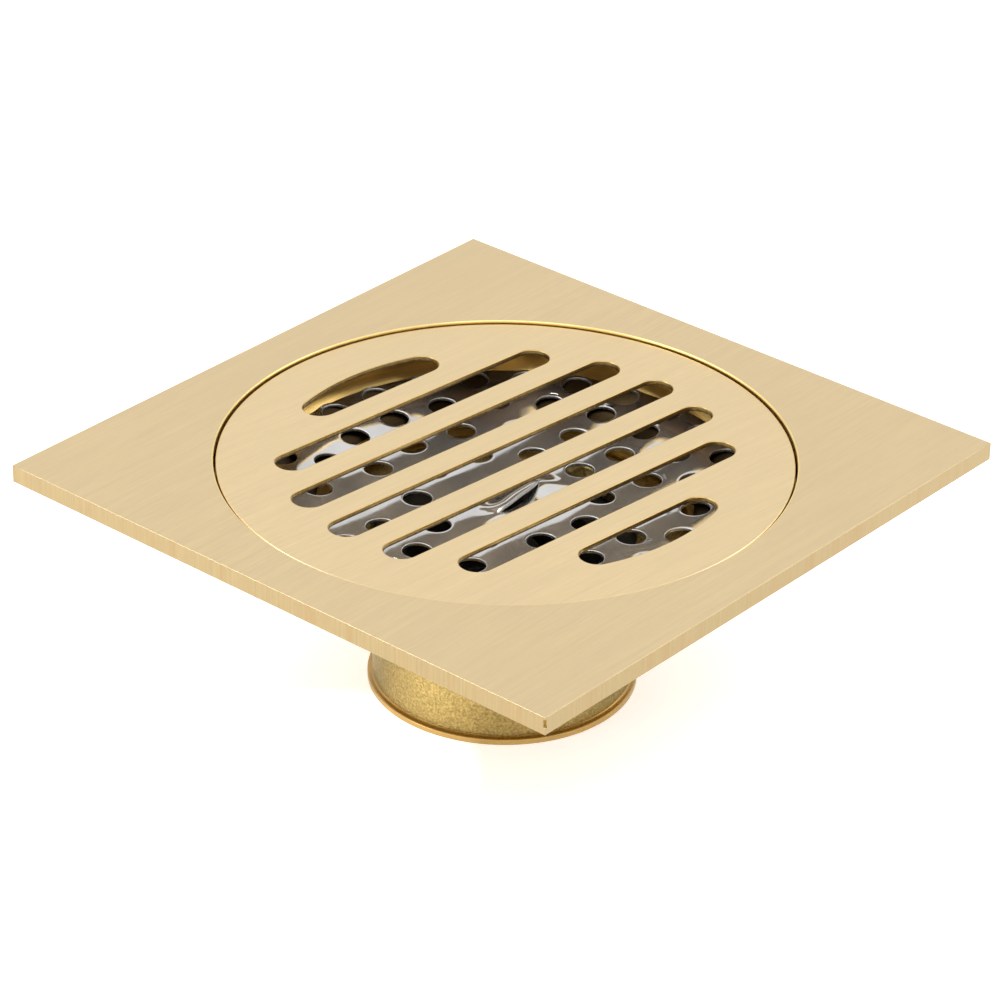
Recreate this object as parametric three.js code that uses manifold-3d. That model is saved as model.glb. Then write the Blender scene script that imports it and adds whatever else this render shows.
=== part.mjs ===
// A square floor drain: brass face plate on a cast bowl, a lift-out slotted grate, a perforated
// hair strainer, and a screw-in odour trap with a spring-loaded valve. Millimetres, +Z up, origin
// at the centre of the outlet's end, plate edges along X and Y.
import * as THREE from "three";
import { mergeVertices } from "three/addons/utils/BufferGeometryUtils.js";
import Module from "manifold-3d";

const wasm = await Module();
wasm.setup();

// ---- Driving dimensions -------------------------------------------------------------------

const HEIGHT = 37; // outlet end to the top of the plate
const RUNNING_GAP = 0.3; // round a piece that screws in, lifts out or slides
const REST_GAP = 0.1; // between faces that bear on each other

const PLATE_SIDE = 100;
const PLATE_THICK = 2.7;
const PLATE_BORE_R = 42.1;
const PLATE_POCKET_R = 45.3; // counterbore in the underside that the bowl's flange is let into
const PLATE_POCKET_DEEP = 1.2;

const GRATE_R = 41.6;
const GRATE_SKIN = 0.9;
const GRATE_RECESS = 0.4; // how far the grate lies below the plate
const GRATE_TURN = THREE.MathUtils.degToRad(-5.55); // as it happens to lie in its round bore
const SKIRT_WALL = 0.9;
const SKIRT_DROP = 0.55;
const EDGE_ROUND = 0.35;
const SLOT_PITCH = 9.66;
const SLOT_WIDTH = 5;
const SLOT_REACH_R = 33.1; // every slot ends on this circle
const OUTER_SLOT = 3; // the slots are numbered -3 to 3

const GRATE_LEDGE = 34.2;
const SEAT_R = 36.7; // wall between the grate's ledge and the strainer's ledge
const STRAINER_LEDGE_TOP = 30.9;
const STRAINER_LEDGE_LOW = 29.5;
const THROAT_R = 27.4; // the threaded throat that takes the trap
const BOWL_FLOOR = 20;
const SPIGOT_R = 19.25;
const SPIGOT_BORE_R = 17.4;
const SPIGOT_LIP_R = 20;
const SPIGOT_LIP_TALL = 0.9;
const FLANGE_R = 45;
const FLANGE_THICK = 1;
const RIM_R = 43.6; // outside of the wall round the grate's ledge
const RIM_LOW = 32.6;
const BOWL_R = 40.6;
const NECK_R = 30.4;

const STRAINER_R = 36.4;
const STRAINER_FLAT_R = 25;
const STRAINER_THICK = 0.5;
const STRAINER_FLAT_TOP = 30.25;
const STRAINER_RIM_TOP = 31.5;
const STRAINER_HOLE_R = 2.2;
const HOLE_RINGS = [
  { radius: 13.35, count: 10, first: -11.5 },
  { radius: 20.8, count: 15, first: -11.2 },
  { radius: 27.9, count: 21, first: -5 },
  { radius: 33.9, count: 27, first: -4.6 },
];
const PULL_LENGTH = 11; // the finger pull pressed up from the strainer
const PULL_DEPTH = 5.6;
const PULL_RISE = 1.75;
const PULL_TURN = THREE.MathUtils.degToRad(8);
const PULL_X = 0.4;
const PULL_Y = -2.9;

const COLLAR_THICK = 2.4;
const COLLAR_INNER_R = 19.4;
const COLLAR_NOTCHES = 4;
const NOTCH_WIDTH = 6;
const NOTCH_DEPTH = 2.4;
const NOTCH_TALL = 1.5;
const GASKET_INNER_R = 18.6;
const GASKET_OUTER_R = 26.4;
const GASKET_THICK = 1;
const SLEEVE_R = 16.2;
const SLEEVE_BORE_R = 14.2;
const SLEEVE_FLANGE_R = 26;
const SLEEVE_FLANGE_THICK = 1.2;
const SLEEVE_END = 11;
const GROOVE_DEPTH = 0.8;
const GROOVE_WIDTH = 2.1;
const O_RING_HEIGHTS = [18.4, 14.4];
const O_RING_R = 16.35;
const O_RING_SECTION_R = 0.85;

const SPIDER_LOW = 12.6;
const SPIDER_TALL = 2.2;
const SPIDER_ARMS = 4;
const SPIDER_ARM_WIDTH = 1.3;
const SPIDER_RIM_WALL = 1.1;
const HUB_R = 3;
const STEM_R = 1.2;
const STEM_LOW = 5;
const STEM_TOP = 22.3;
const STEM_GROOVE_R = 0.8;
const CLIP_LOW = 21.5;
const CLIP_THICK = 0.4;
const CLIP_R = 2.3;
const CLIP_OPENING = 0.9; // half the C's gap, radians
const CAP_R = 5.2;
const CAP_LOW = 20.2;
const CAP_THICK = 1.2;
const SPRING_R = 2.5;
const SPRING_WIRE_R = 0.3;
const SPRING_TURNS = 5;
const SPRING_WASHER_R = 3.4;
const SPRING_WASHER_THICK = 0.4;
const DISC_R = 14.8;
const DISC_THICK = 1.6;
const DISC_TOP = 9.5;
const DISC_DOME = 0.8;
const SEAL_R = 15.5;
const SEAL_THICK = 1;
const SEAL_INNER_R = 5;
const WASHER_R = 11.5;
const WASHER_THICK = 0.7;
const NUT_FLATS = 5.5;
const NUT_TALL = 1.9;
const NUT_WASHER_R = 3.8;
const NUT_WASHER_THICK = 0.5;
const HEX_SIDES = 6;

const LARGE_SIDES = 56;
const MEDIUM_SIDES = 40;
const SMALL_SIDES = 16;
const HOLE_SIDES = 10;
const WIRE_SIDES = 6;
const STEPS_PER_TURN = 12;
const O_RING_SIDES = 6;
const ARC_STEPS = 8;
const PULL_SIDES = 12;

// ---- Heights that follow ------------------------------------------------------------------

const PLATE_LOW = HEIGHT - PLATE_THICK;
const FLANGE_TOP = PLATE_LOW + PLATE_POCKET_DEEP - REST_GAP;
const GRATE_TOP = HEIGHT - GRATE_RECESS;
const GRATE_UNDER = GRATE_TOP - GRATE_SKIN;
const SKIRT_LOW = GRATE_UNDER - SKIRT_DROP;
const CUSHION_LOW = GRATE_LEDGE + REST_GAP;
const CUSHION_TOP = SKIRT_LOW - REST_GAP;
const GASKET_LOW = BOWL_FLOOR + REST_GAP;
const SLEEVE_FLANGE_LOW = GASKET_LOW + GASKET_THICK + REST_GAP;
const SLEEVE_TOP = SLEEVE_FLANGE_LOW + SLEEVE_FLANGE_THICK;
const COLLAR_LOW = SLEEVE_TOP + REST_GAP;
const COLLAR_TOP = COLLAR_LOW + COLLAR_THICK;
const SPIDER_TOP = SPIDER_LOW + SPIDER_TALL;
const SPRING_WASHER_LOW = SPIDER_TOP + REST_GAP;
const SPRING_LOW = SPRING_WASHER_LOW + SPRING_WASHER_THICK;
const SEAL_LOW = DISC_TOP + REST_GAP;
const WASHER_LOW = SEAL_LOW + SEAL_THICK + REST_GAP;
const DISC_LOW = DISC_TOP - DISC_THICK;
const NUT_WASHER_LOW = DISC_LOW - REST_GAP - NUT_WASHER_THICK;
const NUT_LOW = NUT_WASHER_LOW - REST_GAP - NUT_TALL;

// ---- Materials ----------------------------------------------------------------------------

const finish = (name, color, metalness, roughness) =>
  new THREE.MeshStandardMaterial({ name, color, metalness, roughness });

const brushedBrass = finish("brushed_brass", 0xe3cd9f, 1, 0.35);
const castBrass = finish("cast_brass", 0xb59a55, 1, 0.55);
const machinedBrass = finish("machined_brass", 0xcfa95c, 1, 0.25);
const stainless = finish("polished_stainless", 0xc9c8c6, 1, 0.12);
const blackPlastic = finish("black_plastic", 0x1d1d1f, 0, 0.5);
const rubber = finish("black_rubber", 0x161616, 0, 0.8);
const silicone = finish("grey_silicone", 0xa9adad, 0, 0.6);

// ---- Helpers ------------------------------------------------------------------------------

// A ring or solid of revolution about Z. The profile lists [radius, height] anticlockwise, from
// axis to axis, or as a loop that `turned` closes.
function turned(profile, sides) {
  const points = profile.map(([radius, height]) => new THREE.Vector2(radius, height));
  const onAxis = profile[0][0] === 0;
  if (!onAxis) points.push(points[0].clone());
  return new THREE.LatheGeometry(points, sides).rotateX(Math.PI / 2);
}

const ring = (inner, outer, low, high, sides) =>
  turned([[inner, low], [outer, low], [outer, high], [inner, high]], sides);

function extruded(shape, low, high, curveSegments = ARC_STEPS) {
  const options = { depth: high - low, bevelEnabled: false, curveSegments };
  return new THREE.ExtrudeGeometry(shape, options).translate(0, 0, low);
}

function boxAt(width, depth, low, high, x, y) {
  return new THREE.BoxGeometry(width, depth, high - low).translate(x, y, (low + high) / 2);
}

function solid(geometry) {
  const bare = geometry.clone();
  bare.deleteAttribute("normal");
  bare.deleteAttribute("uv");
  const merged = mergeVertices(bare, 1e-5);
  const vertProperties = new Float32Array(merged.attributes.position.array);
  const triVerts = new Uint32Array(merged.index.array);
  return new wasm.Manifold(new wasm.Mesh({ numProp: 3, vertProperties, triVerts }));
}

function geometryOf(manifold) {
  const mesh = manifold.getMesh();
  const geometry = new THREE.BufferGeometry();
  geometry.setAttribute("position", new THREE.BufferAttribute(mesh.vertProperties, 3));
  geometry.setIndex(new THREE.BufferAttribute(mesh.triVerts, 1));
  geometry.computeVertexNormals();
  return geometry;
}

const joined = (geometries) => geometries.map(solid).reduce((whole, next) => whole.add(next));

const part = (name, geometry, material) => {
  const mesh = new THREE.Mesh(geometry, material);
  mesh.name = name;
  return mesh;
};

// ---- Plate and bowl -----------------------------------------------------------------------

function facePlate() {
  const half = PLATE_SIDE / 2;
  const outline = new THREE.Shape();
  outline.moveTo(-half, -half);
  outline.lineTo(half, -half);
  outline.lineTo(half, half);
  outline.lineTo(-half, half);
  outline.closePath();
  let body = solid(extruded(outline, PLATE_LOW, HEIGHT));
  const pocketTop = PLATE_LOW + PLATE_POCKET_DEEP;
  for (const [radius, high] of [[PLATE_BORE_R, HEIGHT + 1], [PLATE_POCKET_R, pocketTop]]) {
    const drill = turned(
      [[0, PLATE_LOW - 1], [radius, PLATE_LOW - 1], [radius, high], [0, high]],
      LARGE_SIDES,
    );
    body = body.subtract(solid(drill));
  }
  return part("face_plate", geometryOf(body), brushedBrass);
}

// One casting: spigot with its turned lip, sloping neck, threaded throat, strainer ledge, seat
// wall, grate ledge, and the flange let into the plate's underside.
function drainBody() {
  const outside = [
    [SPIGOT_BORE_R, 0],
    [SPIGOT_LIP_R, 0],
    [SPIGOT_LIP_R, SPIGOT_LIP_TALL],
    [SPIGOT_R, SPIGOT_LIP_TALL],
    [SPIGOT_R, 15.9],
    [21.5, 16.9],
    [26.5, 17.5],
    [NECK_R, 20.3],
    [NECK_R, 27.6],
    [32, 28.6],
    [BOWL_R - 1.4, 29.2],
    [BOWL_R, 30.6],
    [BOWL_R, RIM_LOW - 0.8],
    [RIM_R, RIM_LOW],
    [RIM_R, FLANGE_TOP - FLANGE_THICK],
    [FLANGE_R, FLANGE_TOP - FLANGE_THICK],
    [FLANGE_R, FLANGE_TOP],
  ];
  const inside = [
    [PLATE_BORE_R, FLANGE_TOP],
    [PLATE_BORE_R, GRATE_LEDGE],
    [SEAT_R, GRATE_LEDGE],
    [SEAT_R, STRAINER_LEDGE_TOP],
    [THROAT_R + 0.6, STRAINER_LEDGE_LOW],
    [THROAT_R, STRAINER_LEDGE_LOW - 0.6],
    [THROAT_R, BOWL_FLOOR],
    [SPIGOT_BORE_R, BOWL_FLOOR],
  ];
  return part("drain_body", turned([...outside, ...inside], LARGE_SIDES), castBrass);
}

// ---- Grate --------------------------------------------------------------------------------

// Slot `index` is a stadium along X. The two outermost follow the rim on their outer side.
function slotOutline(index) {
  const half = SLOT_WIDTH / 2;
  const y = Math.abs(index) * SLOT_PITCH;
  const x = Math.sqrt((SLOT_REACH_R - half) ** 2 - y ** 2);
  const outline = new THREE.Shape();
  if (Math.abs(index) < OUTER_SLOT) {
    outline.absarc(x, y, half, -Math.PI / 2, Math.PI / 2, false);
    outline.absarc(-x, y, half, Math.PI / 2, 1.5 * Math.PI, false);
  } else {
    const tangent = Math.atan2(y, x);
    outline.absarc(x, y, half, -Math.PI / 2, tangent, false);
    outline.absarc(0, 0, SLOT_REACH_R, tangent, Math.PI - tangent, false);
    outline.absarc(-x, y, half, Math.PI - tangent, 1.5 * Math.PI, false);
  }
  return outline;
}

function grate() {
  const cap = turned(
    [
      [0, GRATE_UNDER],
      [GRATE_R - SKIRT_WALL, GRATE_UNDER],
      [GRATE_R - SKIRT_WALL, SKIRT_LOW],
      [GRATE_R, SKIRT_LOW],
      [GRATE_R, GRATE_TOP - EDGE_ROUND],
      [GRATE_R - 0.3 * EDGE_ROUND, GRATE_TOP - 0.3 * EDGE_ROUND],
      [GRATE_R - EDGE_ROUND, GRATE_TOP],
      [0, GRATE_TOP],
    ],
    LARGE_SIDES,
  );
  let body = solid(cap);
  for (let index = -OUTER_SLOT; index <= OUTER_SLOT; index += 1) {
    const slot = extruded(slotOutline(index), GRATE_UNDER - 1, GRATE_TOP + 1);
    if (index < 0) slot.rotateZ(Math.PI);
    body = body.subtract(solid(slot));
  }
  const mesh = part("grate", geometryOf(body), brushedBrass);
  mesh.rotation.z = GRATE_TURN;
  return mesh;
}

// L-shaped rubber ring clipped inside the grate's skirt; the grate turns on it.
function grateCushion() {
  const inside = GRATE_R - SKIRT_WALL - RUNNING_GAP;
  const profile = [
    [inside - 1.4, CUSHION_LOW],
    [GRATE_R, CUSHION_LOW],
    [GRATE_R, CUSHION_TOP],
    [inside, CUSHION_TOP],
    [inside, GRATE_UNDER - RUNNING_GAP],
    [inside - 1.4, GRATE_UNDER - RUNNING_GAP],
  ];
  return part("grate_cushion_ring", turned(profile, LARGE_SIDES), rubber);
}

// ---- Hair strainer ------------------------------------------------------------------------

// Half an eyelid pressed up from the sheet, open along its straight edge.
function pullLid(length, depth, rise) {
  const lid = new THREE.SphereGeometry(1, PULL_SIDES, PULL_SIDES / 2).rotateX(Math.PI / 2);
  lid.scale(length / 2, depth, rise);
  const front = boxAt(length * 2, depth * 2, -rise * 2, rise * 2, 0, -depth);
  const below = boxAt(length * 2, depth * 4, -rise * 2, 0, 0, 0);
  return solid(lid).subtract(solid(front)).subtract(solid(below));
}

function placePull(manifold) {
  return solid(
    geometryOf(manifold)
      .rotateZ(PULL_TURN)
      .translate(PULL_X, PULL_Y, STRAINER_FLAT_TOP - STRAINER_THICK),
  );
}

function hairStrainer() {
  const sheet = turned(
    [
      [0, STRAINER_FLAT_TOP - STRAINER_THICK],
      [STRAINER_FLAT_R, STRAINER_FLAT_TOP - STRAINER_THICK],
      [STRAINER_R, STRAINER_RIM_TOP - STRAINER_THICK],
      [STRAINER_R, STRAINER_RIM_TOP],
      [STRAINER_FLAT_R, STRAINER_FLAT_TOP],
      [0, STRAINER_FLAT_TOP],
    ],
    MEDIUM_SIDES,
  );
  const rise = PULL_RISE + STRAINER_THICK;
  const outer = pullLid(PULL_LENGTH, PULL_DEPTH, rise);
  const wall = STRAINER_THICK;
  const inner = pullLid(PULL_LENGTH - 2 * wall, PULL_DEPTH - wall, rise - wall);
  let body = solid(sheet).add(placePull(outer));
  body = body.subtract(placePull(inner));
  for (const { radius, count, first } of HOLE_RINGS) {
    for (let hole = 0; hole < count; hole += 1) {
      const angle = THREE.MathUtils.degToRad(first + (360 * hole) / count);
      const drill = new THREE.CylinderGeometry(
        STRAINER_HOLE_R, STRAINER_HOLE_R, HEIGHT / 2, HOLE_SIDES,
      ).rotateX(Math.PI / 2);
      drill.translate(radius * Math.cos(angle), radius * Math.sin(angle), STRAINER_FLAT_TOP);
      body = body.subtract(solid(drill));
    }
  }
  return part("hair_strainer", geometryOf(body), stainless);
}

// ---- Odour trap: the cartridge ------------------------------------------------------------

function trapCollar() {
  const outer = THROAT_R - RUNNING_GAP;
  let body = solid(ring(COLLAR_INNER_R, outer, COLLAR_LOW, COLLAR_TOP, LARGE_SIDES));
  for (let notch = 0; notch < COLLAR_NOTCHES; notch += 1) {
    const low = COLLAR_TOP - NOTCH_TALL;
    const cut = boxAt(2 * NOTCH_DEPTH, NOTCH_WIDTH, low, COLLAR_TOP + 1, COLLAR_INNER_R, 0);
    cut.rotateZ((2 * Math.PI * notch) / COLLAR_NOTCHES);
    body = body.subtract(solid(cut));
  }
  return part("trap_collar", geometryOf(body), machinedBrass);
}

function collarGasket() {
  const high = GASKET_LOW + GASKET_THICK;
  const flat = ring(GASKET_INNER_R, GASKET_OUTER_R, GASKET_LOW, high, MEDIUM_SIDES);
  return part("collar_gasket", flat, rubber);
}

// Tube with a clamped flange on top and two grooves for the O-rings.
function trapSleeve() {
  const grooves = [...O_RING_HEIGHTS].reverse().flatMap((middle) => [
    [SLEEVE_R, middle - GROOVE_WIDTH / 2],
    [SLEEVE_R - GROOVE_DEPTH, middle - GROOVE_WIDTH / 2],
    [SLEEVE_R - GROOVE_DEPTH, middle + GROOVE_WIDTH / 2],
    [SLEEVE_R, middle + GROOVE_WIDTH / 2],
  ]);
  const profile = [
    [SLEEVE_BORE_R, SLEEVE_END],
    [SLEEVE_R - 0.6, SLEEVE_END],
    [SLEEVE_R, SLEEVE_END + 1],
    ...grooves,
    [SLEEVE_R, SLEEVE_FLANGE_LOW],
    [SLEEVE_FLANGE_R, SLEEVE_FLANGE_LOW],
    [SLEEVE_FLANGE_R, SLEEVE_TOP],
    [SLEEVE_BORE_R + 1, SLEEVE_TOP],
    [SLEEVE_BORE_R, SLEEVE_TOP - 1],
  ];
  return part("trap_sleeve", turned(profile, MEDIUM_SIDES), blackPlastic);
}

function sleeveORing(height, index) {
  const torus = new THREE.TorusGeometry(O_RING_R, O_RING_SECTION_R, O_RING_SIDES, MEDIUM_SIDES);
  return part(`sleeve_o_ring_${index + 1}`, torus.translate(0, 0, height), rubber);
}

// Rim, hub and arms that keep the stem central.
function guideSpider() {
  const outer = SLEEVE_BORE_R - REST_GAP;
  const rim = ring(outer - SPIDER_RIM_WALL, outer, SPIDER_LOW, SPIDER_TOP, MEDIUM_SIDES);
  const bore = STEM_R + RUNNING_GAP;
  const hub = ring(bore, HUB_R, SPIDER_LOW, SPIDER_TOP, SMALL_SIDES);
  const reach = outer - SPIDER_RIM_WALL / 2 - HUB_R + 0.5;
  const arms = Array.from({ length: SPIDER_ARMS }, (_, arm) =>
    boxAt(reach, SPIDER_ARM_WIDTH, SPIDER_LOW, SPIDER_TOP, HUB_R - 0.5 + reach / 2, 0)
      .rotateZ((2 * Math.PI * (arm + 0.5)) / SPIDER_ARMS),
  );
  return part("guide_spider", geometryOf(joined([rim, hub, ...arms])), blackPlastic);
}

// ---- Odour trap: the valve ----------------------------------------------------------------

function valveStem() {
  const profile = [
    [0, STEM_LOW],
    [STEM_R, STEM_LOW],
    [STEM_R, CLIP_LOW - REST_GAP],
    [STEM_GROOVE_R, CLIP_LOW - REST_GAP],
    [STEM_GROOVE_R, CLIP_LOW + CLIP_THICK + REST_GAP],
    [STEM_R, CLIP_LOW + CLIP_THICK + REST_GAP],
    [STEM_R, STEM_TOP],
    [0, STEM_TOP],
  ];
  return part("valve_stem", turned(profile, SMALL_SIDES), stainless);
}

function stemCap() {
  const bore = STEM_R + REST_GAP;
  const profile = [
    [bore, CAP_LOW],
    [CAP_R - 0.5, CAP_LOW],
    [CAP_R, CAP_LOW + 0.4],
    [CAP_R, CAP_LOW + CAP_THICK - 0.2],
    [CAP_R - 0.5, CAP_LOW + CAP_THICK],
    [bore, CAP_LOW + CAP_THICK],
  ];
  return part("stem_cap", turned(profile, SMALL_SIDES), blackPlastic);
}

// C-shaped clip in the stem's groove, which holds the cap down on the spring.
function stemClip() {
  const inner = STEM_GROOVE_R + REST_GAP;
  const outline = new THREE.Shape();
  outline.absarc(0, 0, CLIP_R, CLIP_OPENING, 2 * Math.PI - CLIP_OPENING, false);
  outline.absarc(0, 0, inner, 2 * Math.PI - CLIP_OPENING, CLIP_OPENING, true);
  return part("stem_clip", extruded(outline, CLIP_LOW, CLIP_LOW + CLIP_THICK), stainless);
}

class Helix extends THREE.Curve {
  constructor(radius, low, high, turns) {
    super();
    Object.assign(this, { radius, low, high, turns });
  }

  getPoint(t, target = new THREE.Vector3()) {
    const angle = 2 * Math.PI * this.turns * t;
    const height = THREE.MathUtils.lerp(this.low, this.high, t);
    return target.set(this.radius * Math.cos(angle), this.radius * Math.sin(angle), height);
  }
}

function valveSpring() {
  const clear = SPRING_WIRE_R + REST_GAP;
  const path = new Helix(SPRING_R, SPRING_LOW + clear, CAP_LOW - clear, SPRING_TURNS);
  const section = new THREE.Shape().absarc(0, 0, SPRING_WIRE_R, 0, 2 * Math.PI, false);
  const wire = new THREE.ExtrudeGeometry(section, {
    extrudePath: path,
    steps: SPRING_TURNS * STEPS_PER_TURN,
    curveSegments: WIRE_SIDES / 2,
  });
  return part("valve_spring", wire, stainless);
}

function valveDisc() {
  const bore = STEM_R + REST_GAP;
  const profile = [
    [bore, DISC_LOW],
    [DISC_R * 0.6, DISC_LOW],
    [DISC_R, DISC_LOW + DISC_DOME],
    [DISC_R, DISC_TOP],
    [bore, DISC_TOP],
  ];
  return part("valve_disc", turned(profile, MEDIUM_SIDES), blackPlastic);
}

function valveSeal() {
  const flat = ring(SEAL_INNER_R, SEAL_R, SEAL_LOW, SEAL_LOW + SEAL_THICK, MEDIUM_SIDES);
  return part("valve_seal", flat, silicone);
}

function stemWasher(name, radius, low, thick, sides) {
  return part(name, ring(STEM_R + REST_GAP, radius, low, low + thick, sides), stainless);
}

function valveNut() {
  const corner = NUT_FLATS / 2 / Math.cos(Math.PI / HEX_SIDES);
  const outline = new THREE.Shape();
  for (let side = 0; side < HEX_SIDES; side += 1) {
    const angle = (2 * Math.PI * side) / HEX_SIDES;
    outline[side ? "lineTo" : "moveTo"](corner * Math.cos(angle), corner * Math.sin(angle));
  }
  outline.closePath();
  outline.holes.push(new THREE.Path().absarc(0, 0, STEM_R + REST_GAP, 0, 2 * Math.PI, true));
  return part("valve_nut", extruded(outline, NUT_LOW, NUT_LOW + NUT_TALL), stainless);
}

// ---- Assembly -----------------------------------------------------------------------------

const drain = new THREE.Group();
drain.add(facePlate(), drainBody());

const liftOutCover = new THREE.Group();
liftOutCover.add(grateCushion(), grate());

const springWasher = stemWasher(
  "spring_washer", SPRING_WASHER_R, SPRING_WASHER_LOW, SPRING_WASHER_THICK, SMALL_SIDES,
);
const sealWasher = stemWasher("seal_washer", WASHER_R, WASHER_LOW, WASHER_THICK, MEDIUM_SIDES);
const nutWasher = stemWasher(
  "nut_washer", NUT_WASHER_R, NUT_WASHER_LOW, NUT_WASHER_THICK, SMALL_SIDES,
);

const cartridge = new THREE.Group();
cartridge.add(trapCollar(), collarGasket(), trapSleeve(), guideSpider(), springWasher);
cartridge.add(...O_RING_HEIGHTS.map(sleeveORing));

const valve = new THREE.Group();
valve.add(valveStem(), stemCap(), stemClip(), valveSpring());
valve.add(valveDisc(), valveSeal(), sealWasher, nutWasher, valveNut());

drain.add(liftOutCover, hairStrainer(), cartridge, valve);

export default drain;
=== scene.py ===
"""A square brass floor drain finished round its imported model: its plate, bowl, grate, strainer
and odour trap. One operator makes each group of pieces, and another the stage."""

import bmesh
import bpy
import numpy as np
from bpy.props import FloatProperty, FloatVectorProperty, IntProperty, PointerProperty
from mathutils import Matrix, Vector


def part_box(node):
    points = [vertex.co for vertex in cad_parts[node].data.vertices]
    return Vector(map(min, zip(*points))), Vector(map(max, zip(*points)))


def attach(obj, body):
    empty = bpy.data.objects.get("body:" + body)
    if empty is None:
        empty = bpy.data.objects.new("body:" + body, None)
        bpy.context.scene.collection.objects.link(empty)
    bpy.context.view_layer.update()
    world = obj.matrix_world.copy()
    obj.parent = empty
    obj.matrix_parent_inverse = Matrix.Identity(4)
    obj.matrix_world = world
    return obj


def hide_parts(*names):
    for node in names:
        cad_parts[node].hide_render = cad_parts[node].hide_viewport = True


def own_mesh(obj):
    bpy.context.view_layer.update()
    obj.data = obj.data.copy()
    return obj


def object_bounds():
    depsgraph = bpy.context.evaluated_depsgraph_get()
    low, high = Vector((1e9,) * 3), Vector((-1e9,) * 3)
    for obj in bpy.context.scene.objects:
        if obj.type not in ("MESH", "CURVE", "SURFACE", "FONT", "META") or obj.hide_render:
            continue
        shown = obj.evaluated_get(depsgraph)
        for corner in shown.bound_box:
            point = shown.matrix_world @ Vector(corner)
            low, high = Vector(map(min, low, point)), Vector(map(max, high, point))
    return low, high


bl_info = {
    "name": "Floor drain maker",
    "version": (1, 0, 0),
    "blender": (4, 5, 0),
    "location": "3D View > Sidebar > Drain",
    "description": "Makes the visible pieces of a square brass floor drain",
    "category": "Add Mesh",
}

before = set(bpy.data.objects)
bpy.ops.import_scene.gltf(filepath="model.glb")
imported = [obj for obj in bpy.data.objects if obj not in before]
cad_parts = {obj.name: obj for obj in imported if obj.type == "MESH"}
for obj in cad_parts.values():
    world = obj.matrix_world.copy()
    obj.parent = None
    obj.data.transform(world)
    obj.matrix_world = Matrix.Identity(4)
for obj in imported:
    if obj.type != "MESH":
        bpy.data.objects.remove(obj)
cad_low, cad_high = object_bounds()

MM = 0.001
TURN = 2 * np.pi


# ---- Sizes and colours --------------------------------------------------------------------


def length(name, description, default):
    """A size in metres."""
    return FloatProperty(
        name=name, description=description, default=default, unit="LENGTH", precision=5
    )


def colour(name, description, default):
    """A linear colour."""
    return FloatVectorProperty(
        name=name, description=description, default=default, subtype="COLOR", size=3, min=0, max=1
    )


class DrainSizes(bpy.types.PropertyGroup):
    """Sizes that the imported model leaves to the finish."""

    round_sides: IntProperty(name="Round sides", description="Sides of a large round", default=192)
    small_sides: IntProperty(name="Small sides", description="Sides of a small round", default=64)
    plate_bevel: length("Plate bevel", "Bevel along the plate's edges", 0.03 * MM)
    bore_bevel: length("Bore bevel", "Rounding of the bore's upper edge", 0.2 * MM)
    nick_depth: length("Nick depth", "Depth of the nick in the front corner", 0.35 * MM)
    grate_edge: length("Grate edge", "Rounding of the grate's rim", 0.32 * MM)
    slot_edge: length("Slot edge", "Rounding of the slots' edges", 0.14 * MM)
    slot_shift_x: length("Slot shift X", "Slots' offset along their length", 0.17 * MM)
    slot_shift_y: length("Slot shift Y", "Slots' offset across their length", 0.12 * MM)
    slot_pitch: length("Slot pitch", "Distance between slot centre lines", 9.66 * MM)
    slot_width: length("Slot width", "Width of a slot", 5.24 * MM)
    slot_reach: length("Slot reach", "Radius that every slot ends on", 33.3 * MM)
    grate_skin: length("Grate skin", "Thickness of the grate's sheet", 0.82 * MM)
    grate_turn: FloatProperty(
        name="Grate turn",
        description="How the loose grate lies",
        default=np.radians(-5.55),
        subtype="ANGLE",
    )
    grate_gap: length("Grate gap", "Running gap round the grate", 0.3 * MM)
    sheet: length("Strainer sheet", "Thickness of the strainer", 0.5 * MM)
    sag: length("Strainer sag", "How far the strainer's middle hangs down", 0.35 * MM)
    ripple: length("Strainer ripple", "Unevenness left by pressing", 0.045 * MM)
    flat_radius: length("Strainer flat", "Radius where the strainer starts to rise", 25.0 * MM)
    hole_radius: length("Strainer hole", "Radius of a strainer hole", 2.17 * MM)
    hole_soft: length("Hole edge", "Rounding of a hole's upper edge", 0.11 * MM)
    pull_length: length("Pull length", "Length of the finger pull's slit", 11.0 * MM)
    pull_depth: length("Pull depth", "How far back the finger pull's swelling runs", 5.6 * MM)
    pull_rise: length("Pull rise", "Height of the finger pull", 1.5 * MM)
    thread_pitch: length("Thread pitch", "Pitch of the throat's thread", 1.0 * MM)
    thread_depth: length("Thread depth", "Depth of the throat's thread", 0.55 * MM)


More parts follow.
